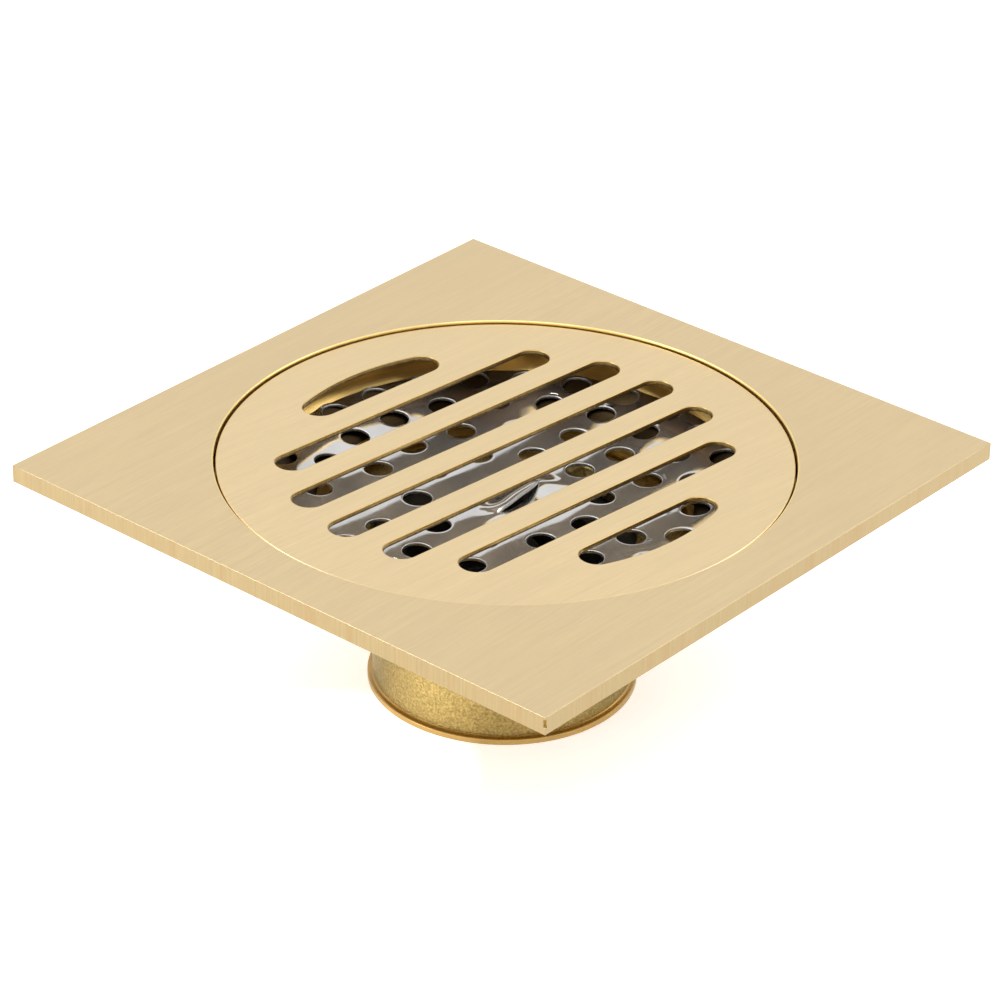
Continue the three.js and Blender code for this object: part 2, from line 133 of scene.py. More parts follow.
class DrainColours(bpy.types.PropertyGroup):
    """Colours of the finishes."""

    brushed: colour("Brushed brass", "Plate and grate", (0.80, 0.625, 0.365))
    # Painted shade: the plate's sides take brass about half as bright as the top's, to offset the
    # lamps that light them.
    edge: colour("Plate edge", "Sawn and filed edges of the plate", (0.40, 0.30, 0.152))
    underside: colour("Grate underside", "Raw sheet under the grate", (0.56, 0.44, 0.29))
    wall: colour("Punched brass", "Walls of the grate's slots", (0.62, 0.43, 0.17))
    bore: colour("Polished brass", "Wall of the plate's bore", (1.0, 0.76, 0.34))
    cast: colour("Cast brass", "Sand-cast faces", (0.38, 0.272, 0.096))
    turned: colour("Turned brass", "Lathe-turned faces", (0.53, 0.35, 0.13))
    seat: colour("Seat wall", "Dull turned face round the strainer", (0.58, 0.39, 0.13))
    steel: colour("Polished steel", "Strainer", (0.79, 0.78, 0.765))
    # Painted highlight: the cut edges take paler steel than the sheet, so each hole shows a bright
    # outline.
    cut: colour("Cut steel", "Punched edges of the strainer", (0.93, 0.93, 0.93))
    crest: colour("Thread brass", "Crests of the throat's thread", (0.92, 0.68, 0.30))
    # Painted shade: the ledge under the strainer is coloured near black to stand for the shade it
    # lies in.
    deep: colour("Painted shade brass", "Ledge that the strainer lies on", (0.045, 0.029, 0.013))
    collar: colour("Collar brass", "Mottled face of the trap's collar", (0.66, 0.49, 0.19))
    wire: colour("Drawn steel", "Stem, spring and fasteners", (0.58, 0.58, 0.57))
    plastic: colour("Black plastic", "Trap mouldings", (0.042, 0.034, 0.028))
    rubber: colour("Rubber", "Seals", (0.014, 0.014, 0.014))
    silicone: colour("Silicone", "Valve seal", (0.40, 0.42, 0.41))
    floor: colour("Floor", "Stage floor", (0.93, 0.93, 0.93))


# ---- Surfaces as arrays -------------------------------------------------------------------


def circle(sides, start=0.0):
    """Evenly spaced angles round a full turn."""
    return start + np.linspace(0, TURN, sides, endpoint=False)


def unit(angles):
    """Points on the unit circle: x = cos a, y = sin a."""
    return np.stack([np.cos(angles), np.sin(angles)], -1)


def oblong(inner, outer, low, high):
    """A rectangle as a profile of (radius, height)."""
    return [(inner, low), (outer, low), (outer, high), (inner, high)]


def rounded(profile, radius, steps=4):
    """Each corner of a closed profile becomes a curve: the corner is cut back along both edges by
    its radius, at most 45% of the edge, and a quadratic Bezier joins the cuts. A further point
    outside each cut keeps the flats flat under smooth shading. Radius 0 keeps a corner."""
    corner = np.asarray(profile, float)
    radius = np.broadcast_to(np.asarray(radius, float), len(corner))[:, None]

    def toward(other, reach):
        step = other - corner
        size = np.linalg.norm(step, axis=1, keepdims=True)
        return corner + step / size * np.minimum(radius * reach, 0.45 * size)

    back, ahead = np.roll(corner, 1, 0), np.roll(corner, -1, 0)
    a, b = toward(back, 1), toward(ahead, 1)
    t = np.linspace(0, 1, steps + 1)[None, :, None]
    bend = (1 - t) ** 2 * a[:, None] + 2 * t * (1 - t) * corner[:, None] + t**2 * b[:, None]
    held = [toward(back, 1.35)[:, None], bend, toward(ahead, 1.35)[:, None]]
    return np.concatenate(held, 1).reshape(-1, 2)


def closed(profile):
    """The profile with its first point repeated at the end."""
    return np.concatenate([profile, profile[:1]])


def carried(profile, angles):
    """A (radius, height) profile carried round the axis: x = r cos a, y = r sin a, z = height."""
    profile = np.asarray(profile, float)
    return lifted(profile[:, :1] * unit(angles)[:, None], profile[:, 1])


def lifted(points, height):
    """Points in the plane at a height."""
    height = np.broadcast_to(np.asarray(height, float), points.shape[:-1])
    return np.concatenate([points, height[..., None]], -1)


def threaded(radius, depth, pitch, low, high, angles):
    """A screw surface: r = radius + depth * ridge(z / pitch - a / turn), where the ridge is a
    sharpened cosine that fades out over half a pitch at both ends."""
    rows = int(np.ceil((high - low) / pitch * 10))
    z = np.linspace(low, high, rows + 1)[None, :]
    phase = z / pitch - angles[:, None] / TURN
    ridge = np.abs(2 * (phase % 1) - 1) ** 1.3
    fade = np.clip(np.minimum(z - low, high - z) / (0.5 * pitch), 0, 1)
    r = radius + depth * ridge * fade
    return lifted(r[..., None] * unit(angles)[:, None], z)


def tube(path, radius, sides):
    """A circle carried along an open path of points, square to it, closed at both ends by a fan."""
    ahead = np.gradient(path, axis=0)
    ahead /= np.linalg.norm(ahead, axis=1, keepdims=True)
    side = np.cross(ahead, [0, 0, 1.0])
    side /= np.linalg.norm(side, axis=1, keepdims=True)
    over = np.cross(side, ahead)
    a = circle(sides)[None, :, None]
    rings = path[:, None] + radius * (np.cos(a) * side[:, None] + np.sin(a) * over[:, None])
    ends = [np.broadcast_to(path[i], rings[:1].shape) for i in (0, -1)]
    return np.concatenate([ends[0], rings, ends[1]]).transpose(1, 0, 2)


# ---- Pieces -------------------------------------------------------------------------------


def patch(grid, wrap=False, finish=0, smooth=True):
    """One grid of points and how it joins: wrap closes its first direction, and finish is one
    material for the whole grid or an array of one for each of its faces."""
    return {"grid": grid, "wrap": wrap, "finish": finish, "smooth": smooth}


def band(rings, **how):
    """Closed rings of as many points, each joined to the next."""
    return patch(np.stack(rings, 1), wrap=True, **how)


def swept(profile, angles, **how):
    """A profile carried round the axis as one grid."""
    return patch(carried(profile, angles), wrap=True, **how)


def make_piece(name, patches, materials, body, slot, *nodes):
    """Grids of points become one mesh with its seams merged and its faces pointing out. The piece
    rides on its body, takes the finishes given and stands for the nodes. The slot is not used."""
    points, faces, finishes, smooths, start = [], [], [], [], 0
    for p in patches:
        rows, columns = p["grid"].shape[:2]
        index = start + np.arange(rows * columns).reshape(rows, columns)
        if p["wrap"]:
            index = np.concatenate([index, index[:1]])
        quads = np.stack([index[:-1, :-1], index[1:, :-1], index[1:, 1:], index[:-1, 1:]], -1)
        faces.append(quads.reshape(-1, 4))
        points.append(p["grid"].reshape(-1, 3))
        finishes.append(np.broadcast_to(p["finish"], quads.shape[:2]).ravel())
        smooths.append(np.full(len(faces[-1]), p["smooth"]))
        start += rows * columns
    mesh = bpy.data.meshes.new(name)
    mesh.from_pydata(np.concatenate(points).tolist(), [], np.concatenate(faces).tolist())
    mesh.polygons.foreach_set("material_index", np.concatenate(finishes).astype(np.int32))
    mesh.polygons.foreach_set("use_smooth", np.concatenate(smooths))
    bm = bmesh.new()
    bm.from_mesh(mesh)
    bmesh.ops.remove_doubles(bm, verts=bm.verts, dist=2e-6)
    bmesh.ops.dissolve_degenerate(bm, edges=bm.edges, dist=1e-7)
    bmesh.ops.recalc_face_normals(bm, faces=bm.faces)
    bm.to_mesh(mesh)
    bm.free()
    for material in materials:
        mesh.materials.append(material)
    piece = bpy.data.objects.new(name, mesh)
    bpy.context.scene.collection.objects.link(piece)
    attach(piece, body)
    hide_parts(*nodes)
    return piece


def turned_piece(name, profile, radius, sides, material, body, slot, node):
    """One closed profile, its corners rounded, carried once round the axis."""
    patches = [swept(closed(rounded(profile, radius)), circle(sides))]
    return make_piece(name, patches, [material], body, slot, node)


# ---- Finishes -----------------------------------------------------------------------------


class Finish:
    """A material being wired: a shader whose colour, roughness and bump come from patterns on
    the object's own coordinates."""

    def __init__(self, name, metallic, roughness, **fixed):
        self.material = bpy.data.materials.new(name)
        self.material.use_nodes = True
        self.tree = self.material.node_tree
        self.shader = self.tree.nodes["Principled BSDF"]
        self.shader.inputs["Metallic"].default_value = metallic
        self.shader.inputs["Roughness"].default_value = roughness
        for socket, value in fixed.items():
            self.shader.inputs[socket.replace("_", " ")].default_value = value
        self.place = self.tree.nodes.new("ShaderNodeTexCoord").outputs["Object"]
        self.normal = None

    def node(self, kind, links=None, **settings):
        made = self.tree.nodes.new(kind)
        for key, value in settings.items():
            setattr(made, key, value)
        for socket, source in (links or {}).items():
            if isinstance(source, bpy.types.NodeSocket):
                self.tree.links.new(source, made.inputs[socket])
            else:
                made.inputs[socket].default_value = source
        return made

    def mapped(self, scale, turn=0.0):
        """The object's coordinates, turned about Z and then stretched."""
        turned = self.node("ShaderNodeMapping", {"Vector": self.place, "Rotation": (0, 0, -turn)})
        links = {"Vector": turned.outputs[0], "Scale": scale}
        return self.node("ShaderNodeMapping", links).outputs[0]

    def from_axis(self):
        """The distance from the Z axis, and the height."""
        split = self.node("ShaderNodeSeparateXYZ", {"Vector": self.place}).outputs
        flat = self.node("ShaderNodeCombineXYZ", {"X": split["X"], "Y": split["Y"]}).outputs[0]
        size = self.node("ShaderNodeVectorMath", {0: flat}, operation="LENGTH")
        return size.outputs["Value"], split["Z"]

    def noise(self, vector, scale=1.0, detail=3.0, rough=0.6):
        links = {"Vector": vector, "Scale": scale, "Detail": detail, "Roughness": rough}
        return self.node("ShaderNodeTexNoise", links).outputs["Fac"]

    def spread(self, value, low, high, to_low=0.0, to_high=1.0):
        """A pattern's middle range, stretched to new limits."""
        links = {"Value": value, "From Min": low, "From Max": high}
        links |= {"To Min": to_low, "To Max": to_high}
        return self.node("ShaderNodeMapRange", links).outputs["Result"]

    def mix(self, share, first, second, blend="MIX"):
        mixed = self.node("ShaderNodeMix", data_type="RGBA", blend_type=blend)
        for socket, source in ((0, share), (6, first), (7, second)):
            if isinstance(source, bpy.types.NodeSocket):
                self.tree.links.new(source, mixed.inputs[socket])
            else:
                mixed.inputs[socket].default_value = source
        return mixed.outputs[2]

    def tone(self, pattern, rgb, first, second, low=0.3, high=0.7):
        """A colour whose brightness goes from one factor to another with a pattern."""
        return self.mix(self.spread(pattern, low, high), shade(rgb, first), shade(rgb, second))

    def stained(self, base, pattern, low, high, most, stain):
        """A colour that gives way to a stain, by a share at most, where a pattern is high."""
        return self.mix(self.spread(pattern, low, high, 0, most), base, stain)

    def add(self, first, second, operation="ADD"):
        return self.node("ShaderNodeMath", {0: first, 1: second}, operation=operation).outputs[0]

    def wire(self, socket, source):
        self.tree.links.new(source, self.shader.inputs[socket])

    def colour(self, source):
        self.wire("Base Color", source)

    def roughness(self, pattern, *limits):
        self.wire("Roughness", self.spread(pattern, *limits) if limits else pattern)

    def bump(self, height, distance, strength=0.5):
        """Relief added to what is there already."""
        links = {"Height": height, "Distance": distance, "Strength": strength}
        if self.normal is not None:
            links["Normal"] = self.normal
        self.normal = self.node("ShaderNodeBump", links).outputs["Normal"]
        self.wire("Normal", self.normal)


def shade(rgb, factor):
    """A colour made lighter or darker, with full alpha."""
    return (*[min(1.0, c * factor) for c in rgb], 1.0)


def finish_brushed(name, rgb, turn=0.0):
    """Straight fine brushing: long thin streaks along the brush, in tone, gloss and depth."""
    f = Finish(name, 1.0, 0.34)
    streaks = f.noise(f.mapped((420, 9000, 900), turn), detail=4, rough=0.65)
    long = f.noise(f.mapped((70, 2600, 260), turn), detail=2)
    cloud = f.noise(f.mapped((22, 30, 22), turn), detail=2)
    both = f.add(f.spread(streaks, 0.3, 0.7, -0.5, 0.5), f.spread(long, 0.3, 0.7, -0.5, 0.5))
    base = f.tone(both, rgb, 0.93, 1.06, -0.8, 0.8)
    f.colour(f.stained(base, cloud, 0.35, 0.65, 0.35, shade(rgb, 0.95)))
    f.roughness(both, -0.8, 0.8, 0.30, 0.42)
    f.bump(streaks, 0.006 * MM)
    return f.material


def finish_edge(name, rgb):
    """Upright file marks: narrow streaks along Z, some of them redder."""
    f = Finish(name, 1.0, 0.36)
    marks = f.noise(f.mapped((2300, 2300, 60)), detail=4, rough=0.7)
    broad = f.noise(f.mapped((420, 420, 20)), detail=2)
    base = f.tone(marks, rgb, 0.86, 1.08)
    red = (rgb[0] * 0.95, rgb[1] * 0.80, rgb[2] * 0.72, 1.0)
    f.colour(f.stained(base, broad, 0.52, 0.72, 0.55, red))
    f.roughness(marks, 0.3, 0.7, 0.28, 0.45)
    f.bump(marks, 0.02 * MM)
    return f.material


def finish_punched(name, rgb, top, thick):
    """Wall of a punched slot: burnished above, rougher where torn in its lower part and darkened
    there as painted shade, with fine upright drag marks."""
    f = Finish(name, 1.0, 0.34)
    marks = f.noise(f.mapped((2600, 2600, 120)), detail=4, rough=0.7)
    height = f.node("ShaderNodeSeparateXYZ", {"Vector": f.place}).outputs["Z"]
    ragged = f.add(height, f.spread(marks, 0.3, 0.7, -0.1 * thick, 0.1 * thick))
    # Painted shade: the wall's lower part is darkened to 0.3 of its colour; the torn part is also
    # rougher.
    torn = f.spread(ragged, top - 0.5 * thick, top - 0.75 * thick)
    base = f.tone(marks, rgb, 0.9, 1.08)
    f.colour(f.mix(torn, base, shade(rgb, 0.3)))
    f.roughness(torn, 0, 1, 0.3, 0.5)
    f.bump(marks, 0.015 * MM)
    return f.material


def finish_polished_brass(name, rgb):
    """Bright bored wall with faint turning marks and a little haze."""
    f = Finish(name, 1.0, 0.16)
    rings = f.noise(f.mapped((30, 30, 6000)), detail=3)
    haze = f.noise(f.mapped((160, 160, 160)), detail=3)
    f.colour(f.tone(haze, rgb, 0.9, 1.06, 0.35, 0.65))
    f.roughness(rings, 0.3, 0.7, 0.26, 0.4)
    f.bump(rings, 0.01 * MM, 0.4)
    return f.material


def finish_cast(name, rgb):
    """Sand-cast skin: grains and pits about a third of a millimetre across, dulled in the pits."""
    f = Finish(name, 1.0, 0.5)
    vector = f.mapped((1, 1, 1))
    grains = f.noise(vector, 2600, 3, 0.6)
    cells = f.node("ShaderNodeTexVoronoi", {"Vector": vector, "Scale": 1900.0}).outputs["Distance"]
    stain = f.noise(vector, 160, 4, 0.6)
    base = f.tone(grains, rgb, 0.72, 1.22, 0.35, 0.65)
    olive = (rgb[0] * 0.72, rgb[1] * 0.80, rgb[2] * 0.85, 1.0)
    f.colour(f.stained(base, stain, 0.42, 0.68, 0.6, olive))
    f.roughness(grains, 0.35, 0.65, 0.56, 0.34)
    f.bump(f.add(grains, f.spread(cells, 0.0, 0.6, 0, 0.5)), 0.09 * MM, 0.75)
    return f.material


def finish_turned(name, rgb, dull=0.0):
    """Lathe-turned face: fine rings that follow the radius and the height, with dull patches."""
    f = Finish(name, 1.0, 0.28 + dull)
    radius, height = f.from_axis()
    along = f.node("ShaderNodeCombineXYZ", {"X": radius, "Z": height}).outputs[0]
    rings = f.noise(along, 5200, 3, 0.6)
    stain = f.noise(f.place, 130, 4, 0.6)
    base = f.tone(rings, rgb, 0.88, 1.1)
    f.colour(f.stained(base, stain, 0.4, 0.7, 0.5, shade(rgb, 0.74)))
    f.roughness(stain, 0.3, 0.7, 0.22 + dull, 0.36 + dull)
    f.bump(rings, 0.02 * MM, 0.45)
    return f.material


def finish_thread(name, rgb, crest, root):
    """Chased thread: bright brass at the crests, darkened towards the roots as painted shade, with
    fine tool marks.
    """
    f = Finish(name, 1.0, 0.26)
    radius, _ = f.from_axis()
    marks = f.noise(f.mapped((300, 300, 12000)), detail=2)
    # Painted shade: the colour darkens to 0.16 of the crest colour towards the roots, and the
    # roughness rises there.
    painted_root_shade = f.spread(radius, crest + 0.3 * (root - crest), crest + 0.7 * (root - crest))
    f.colour(f.mix(painted_root_shade, f.tone(marks, rgb, 0.92, 1.1), shade(rgb, 0.16)))
    f.roughness(painted_root_shade, 0, 1, 0.26, 0.5)
    return f.material


def finish_polished_steel(name, rgb):
    """Mirror-bright sheet, slightly wavy from pressing, with hairline scratches, smears and the
    fine matt pits that tumbling leaves."""
    f = Finish(name, 1.0, 0.1)
    smear = f.noise(f.mapped((90, 140, 90), 0.7), detail=4)
    scratch = f.noise(f.mapped((500, 14000, 500), 0.35), detail=2)
    wave = f.noise(f.place, 95, 2, 0.45)
    f.colour(f.tone(smear, rgb, 1.02, 0.9, 0.35, 0.7))
    gloss = f.spread(smear, 0.3, 0.75, 0.05, 0.11)
    pits = f.spread(f.noise(f.place, 26000, 2), 0.57, 0.6)
    f.roughness(f.add(gloss, f.add(pits, 0.5, "MULTIPLY")))
    f.bump(wave, 0.05 * MM)
    f.bump(scratch, 0.0006 * MM, 0.3)
    return f.material


def finish_cut_steel(name, rgb):
    """Punched and tumbled edge: satin, slightly torn along the cut, and paler than the sheet as a
    painted highlight round each hole.
    """
    f = Finish(name, 1.0, 0.3)
    tears = f.noise(f.mapped((3000, 3000, 700)), detail=3)
    f.colour(f.tone(tears, rgb, 0.85, 1.1))
    f.roughness(tears, 0.3, 0.7, 0.34, 0.5)
    f.bump(tears, 0.01 * MM)
    return f.material


def finish_drawn_steel(name, rgb):
    """Drawn and turned steel: fine rings along Z and a light stain."""
    f = Finish(name, 1.0, 0.3)
    rings = f.noise(f.mapped((300, 300, 9000)), detail=3)
    stain = f.noise(f.place, 420, 3)
    base = f.tone(rings, rgb, 0.88, 1.1)
    f.colour(f.stained(base, stain, 0.4, 0.7, 0.4, shade(rgb, 0.78)))
    f.roughness(stain, 0.3, 0.7, 0.24, 0.4)
    f.bump(rings, 0.008 * MM, 0.4)
    return f.material


def finish_plastic(name, rgb):
    """Satin moulding: spark-eroded grain and greyer scuffs."""
    f = Finish(name, 0.0, 0.45, Specular_IOR_Level=0.45)
    grain = f.noise(f.place, 5200, 3)
    scuff = f.noise(f.mapped((300, 900, 300), 0.5), detail=5, rough=0.7)
    f.colour(f.stained(shade(rgb, 1.0), scuff, 0.55, 0.8, 0.5, shade(rgb, 3.0)))
    f.roughness(scuff, 0.35, 0.75, 0.38, 0.6)
    f.bump(grain, 0.02 * MM)
    return f.material


def finish_rubber(name, rgb, soft=0.75):
    """Dull moulded rubber: fine grain, a dusty bloom and a slight gloss where it was pressed."""
    f = Finish(name, 0.0, soft, Specular_IOR_Level=0.35)
    grain = f.noise(f.place, 3800, 4)
    bloom = f.noise(f.place, 240, 4, 0.65)
    f.colour(f.stained(shade(rgb, 1.0), bloom, 0.4, 0.75, 0.45, shade(rgb, 1.9)))
    f.roughness(bloom, 0.3, 0.7, soft - 0.12, soft + 0.12)
    f.bump(grain, 0.03 * MM)
    return f.material


def finish_floor(name, rgb):
    """Plain matt studio floor with the faintest mottle, glowing softly so that it stays pale in the
    drain's shade, and glowing four times as strongly in a painted pool of light on the left, which
    the spigot reflects as its highlight."""
    f = Finish(name, 0.0, 0.9, Specular_IOR_Level=0.1, Emission_Strength=0.5)
    f.shader.inputs["Emission Color"].default_value = (1, 1, 1, 1)
    # Painted pool of light: within 5 mm of this point the floor glows at 2, fading to 0.5 by 22 mm,
    # so that the spigot shows a reflected highlight.
    from_painted_pool = f.node("ShaderNodeVectorMath", {0: f.place, 1: (-0.036, 0.001, 0)}, operation="DISTANCE")
    f.wire("Emission Strength", f.spread(from_painted_pool.outputs["Value"], 0.005, 0.022, 2.0, 0.5))
    f.colour(f.tone(f.noise(f.place, 6, 3), rgb, 0.99, 1.0))
    return f.material


# ---- Plate --------------------------------------------------------------------------------


def square_loop(half, angles):
    """Points of a square's outline seen at each angle from its centre."""
    outline = unit(angles)
    return half * outline / np.abs(outline).max(1, keepdims=True)


class DRAIN_OT_face_plate(bpy.types.Operator):
    """Add the square face plate with its bore and the pocket for the bowl's flange"""

    bl_idname = "drain.face_plate"
    bl_label = "Face plate"

    def execute(self, context):
        sizes, tones = context.scene.drain_sizes, context.scene.drain_colours
        low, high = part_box("face_plate")
        half, bottom, top = high.x, low.z, high.z
        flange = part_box("drain_body")[1]
        bore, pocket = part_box("grate_cushion_ring")[1].x + 0.5 * MM, flange.x + 0.3 * MM
        step = flange.z + 0.1 * MM
        bevel, soft = sizes.plate_bevel, sizes.bore_bevel
        corner = 1.25 * np.pi
        beside = np.array([-1.6, -0.7, 0.7, 1.6]) * 0.1 * MM / half
        angles = np.sort(np.concatenate([circle(sizes.round_sides), corner + beside]))
        pinch = np.clip(1 - np.abs(angles - corner) * half / (0.14 * MM), 0, 1)[:, None]

        def ring(radius, height):
            """A circle about the axis."""
            return lifted(radius * unit(angles), height)

        def frame_at(inset, height, nick=0.0):
            """The square drawn in by an inset, its points beside the front corner pinched in."""
            outline = square_loop(half - inset, angles)
            return lifted(outline + pinch * nick * sizes.nick_depth, height)

        edge = bevel * (1 - np.sqrt(0.5))
        bend = np.linspace(0, np.pi / 2, 6)
        lip = [ring(bore + soft * (1 - np.cos(b)), top - soft * (1 - np.sin(b))) for b in bend]
        above = [frame_at(bevel, top), frame_at(edge, top - edge), frame_at(0, top - bevel)]
        drops = np.array([0.35, 0.45, 1.5, 1.7]) * MM
        side = [frame_at(0, top - bevel)]
        side += [frame_at(0, top - drop, nick) for drop, nick in zip(drops, (0, 1, 1, 0))]
        side.append(frame_at(0, bottom + bevel))
        beside_nick = (pinch > 0) & (np.roll(pinch, -1, axis=0) > 0)
        nicked = beside_nick & np.array([False, True, True, True, False])
        below = [side[-1], frame_at(edge, bottom + edge), frame_at(bevel, bottom)]
        patches = [
            band([lip[-1], above[0]], smooth=False),
            band(above),
            band(side, finish=np.where(nicked, 3, 1), smooth=False),
            band(below, finish=1),
            band([below[-1], ring(pocket, bottom)], smooth=False),
            band([ring(pocket, bottom), ring(pocket, step)], finish=2),
            band([ring(pocket, step), ring(bore, step)], finish=2, smooth=False),
            band([ring(bore, step), ring(bore, top - 1.4 * soft), *lip], finish=2),
        ]
        finishes = [
            finish_brushed("brushed_plate", tones.brushed),
            finish_edge("filed_edge", tones.edge),
            finish_polished_brass("polished_bore", tones.bore),
            finish_turned("tarnished_nick", tones.collar, 0.2),
        ]
        make_piece("plate_brushed", patches, finishes, "drain", "brushed_brass", "face_plate")
        return {"FINISHED"}


# ---- Grate --------------------------------------------------------------------------------


class SlotPlan:
    """The slots of the grate as curves over shared columns, in the grate's own turned frame."""

    def __init__(self, sizes, radius, columns=96):
        self.half, self.reach = sizes.slot_width / 2, sizes.slot_reach
        self.pitch, self.edge, self.radius = sizes.slot_pitch, sizes.slot_edge, radius
        self.outer = int(self.reach / self.pitch)
        bend = np.linspace(0, np.pi / 2, 15)[:-1]
        starts = np.array([self.centre(number)[0] for number in range(self.outer + 1)])
        caps = starts[:, None] + (self.half + self.edge) * np.sin(bend)
        ends = starts + self.half + self.edge
        x = np.concatenate([caps.ravel(), radius * np.cos(np.linspace(0, np.pi / 2, columns // 2))])
        x = x[np.abs(x[:, None] - ends).min(1) > 0.03 * MM]
        x = np.unique(np.concatenate([x, ends, -x, -ends]))
        held = np.abs(np.abs(x)[:, None] - ends).min(1) < 1e-9
        self.columns = x[held | np.concatenate([[True], np.diff(x) > 4e-6])]

    def centre(self, number):
        """Centre of a slot's round end: on the circle one half width inside the reach."""
        y = abs(number) * self.pitch
        return np.sqrt((self.reach - self.half) ** 2 - y**2), y

    def edges(self, number, x):
        """Both long edges of a slot over the columns, with the outward direction at each point. A
        straight run ends in a quarter circle about the end's centre, and the outermost slots
        follow the circle of the reach on their far side. Past its ends a slot has no width."""
        cx, cy = self.centre(number)
        cap = self.half + self.edge
        past = np.maximum(np.abs(x) - cx, 0) * np.sign(x)
        rise = np.sqrt(np.maximum(cap**2 - past**2, 0))
        near, far = cy - rise, cy + rise
        near_out = np.stack([past, -rise], -1) / cap
        far_out = np.stack([past, rise], -1) / cap
        if abs(number) == self.outer:
            big = self.reach + self.edge
            on_arc = np.abs(x) < big * cx / np.hypot(cx, cy)
            arc = np.sqrt(np.maximum(big**2 - x**2, 0))
            far = np.where(on_arc, arc, far)
            far_out = np.where(on_arc[:, None], np.stack([x, arc], -1) / big, far_out)
        if number < 0:
            flip = np.array([1, -1])
            return (-far, far_out * flip), (-near, near_out * flip)
        return (near, near_out), (far, far_out)

    def disc(self, height):
        """The flat skin inside the plan's radius: bands between one slot's far edge and the next
        slot's near edge."""
        x = self.columns
        limit = np.sqrt(np.maximum(self.radius**2 - x**2, 0))
        curves = [-limit]
        for number in range(-self.outer, self.outer + 1):
            (low, _), (high, _) = self.edges(number, x)
            curves += [np.clip(low, -limit, limit), np.clip(high, -limit, limit)]
        curves.append(limit)
        for low, high in zip(curves[::2], curves[1::2]):
            across = low[:, None] + (high - low)[:, None] * np.linspace(0, 1, 3)
            plane = np.stack([np.broadcast_to(x[:, None], across.shape), across], -1)
            yield patch(lifted(plane, height), smooth=False)

    def wall(self, number, section):
        """A slot's wall: the section's (inward, height) steps carried round the slot's outline."""
        end = self.centre(number)[0] + self.half + self.edge
        x = self.columns[np.abs(self.columns) <= end + 1e-7]
        (low, low_out), (high, high_out) = self.edges(number, x)
        outline = np.concatenate([np.stack([x, low], -1), np.stack([x, high], -1)[::-1]])
        outward = np.concatenate([low_out, high_out[::-1]])
        steps = [lifted(outline - inward * outward, height) for inward, height in section]
        return band(steps, finish=1)

    def angles(self):
        """Where the columns meet the plan's circle, as angles round it."""
        upper = np.arccos(np.clip(self.columns[::-1] / self.radius, -1, 1))
        return np.concatenate([upper, TURN - upper[::-1][1:-1]])


def turn_about_z(patches, angle):
    """The same grids turned about the axis."""
    c, s = np.cos(angle), np.sin(angle)
    spin = np.array([[c, s, 0], [-s, c, 0], [0, 0, 1]])
    return [{**p, "grid": p["grid"] @ spin} for p in patches]


class DRAIN_OT_grate(bpy.types.Operator):
    """Add the round grate with its slots and turned-down skirt"""

    bl_idname = "drain.grate"
    bl_label = "Grate"

    def execute(self, context):
        sizes, tones = context.scene.drain_sizes, context.scene.drain_colours
        low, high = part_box("grate")
        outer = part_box("grate_cushion_ring")[1].x + 0.5 * MM - sizes.grate_gap
        top, skirt_low = high.z, low.z
        under = top - sizes.grate_skin
        plan = SlotPlan(sizes, sizes.slot_reach + 1.3 * MM)
        skirt_in = outer - sizes.grate_skin
        corners = [(outer, top), (outer, skirt_low), (skirt_in, skirt_low), (skirt_in, under)]
        bends = np.array([1, 0.5, 0.3, 0.4]) * sizes.grate_edge
        rim = rounded([(plan.radius, top), *corners, (plan.radius, under)], [0, *bends, 0])
        bend = np.linspace(0, np.pi / 2, 5)
        roll = np.stack([np.sin(bend), 1 - np.cos(bend)], -1) * sizes.slot_edge
        section = [(inward, top - drop) for inward, drop in roll]
        section += [(inward, under + drop) for inward, drop in roll[::-1]]
        shift = np.array([sizes.slot_shift_x, sizes.slot_shift_y, 0])
        brim = carried(rim, plan.angles())
        held = np.hypot(brim[..., 0], brim[..., 1]) < plan.radius + 0.01 * MM
        brim[held] += shift
        slots = [*plan.disc(top), *[{**p, "finish": 2} for p in plan.disc(under)]]
        slots += [plan.wall(n, section) for n in range(-plan.outer, plan.outer + 1)]
        patches = [patch(brim, wrap=True), *[{**p, "grid": p["grid"] + shift} for p in slots]]
        finishes = [
            finish_brushed("brushed_grate", [c * 1.09 for c in tones.brushed], sizes.grate_turn),
            finish_punched("punched_wall", tones.wall, top, sizes.grate_skin),
            finish_turned("grate_underside", tones.underside, 0.12),
        ]
        turned = turn_about_z(patches, sizes.grate_turn)
        make_piece("grate_brushed", turned, finishes, "grate", "brushed_brass", "grate")
        return {"FINISHED"}


class DRAIN_OT_cushion(bpy.types.Operator):
    """Add the rubber ring that the grate turns on"""

    bl_idname = "drain.cushion"
    bl_label = "Cushion ring"

    def execute(self, context):
        sizes, tones = context.scene.drain_sizes, context.scene.drain_colours
        low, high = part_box("grate_cushion_ring")
        inside = high.x - sizes.grate_skin - 0.3 * MM
        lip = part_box("grate")[0].z - 0.1 * MM
        profile = [(inside - 1.4 * MM, low.z), (high.x, low.z), (high.x, lip), (inside, lip)]
        profile += [(inside, high.z), (inside - 1.4 * MM, high.z)]
        rubber = finish_rubber("cushion_rubber", tones.rubber)
        turned_piece(
            "cushion_rubber_ring", profile, 0.2 * MM, sizes.round_sides, rubber,
            "cushion", "black_rubber", "grate_cushion_ring",
        )
        return {"FINISHED"}


# ---- Strainer -----------------------------------------------------------------------------


HOLE_RINGS = (
    # radius, holes, first hole in degrees, offset, outline points per hole inside and outside
    (13.25 * MM, 10, -10.9, (0.2 * MM, -0.6 * MM), 12, 12),
    (20.7 * MM, 15, -10.7, (0.4 * MM, -0.65 * MM), 8, 14),
    (27.5 * MM, 21, -7.0, (0.7 * MM, 0.15 * MM), 10, 18),
    (33.9 * MM, 27, -4.5, (0.0, 0.0), 14, 14),
)
RING_EDGES = (9.6 * MM, 17.0 * MM, 24.1 * MM, 30.95 * MM)
SEAM = 0.2 * MM


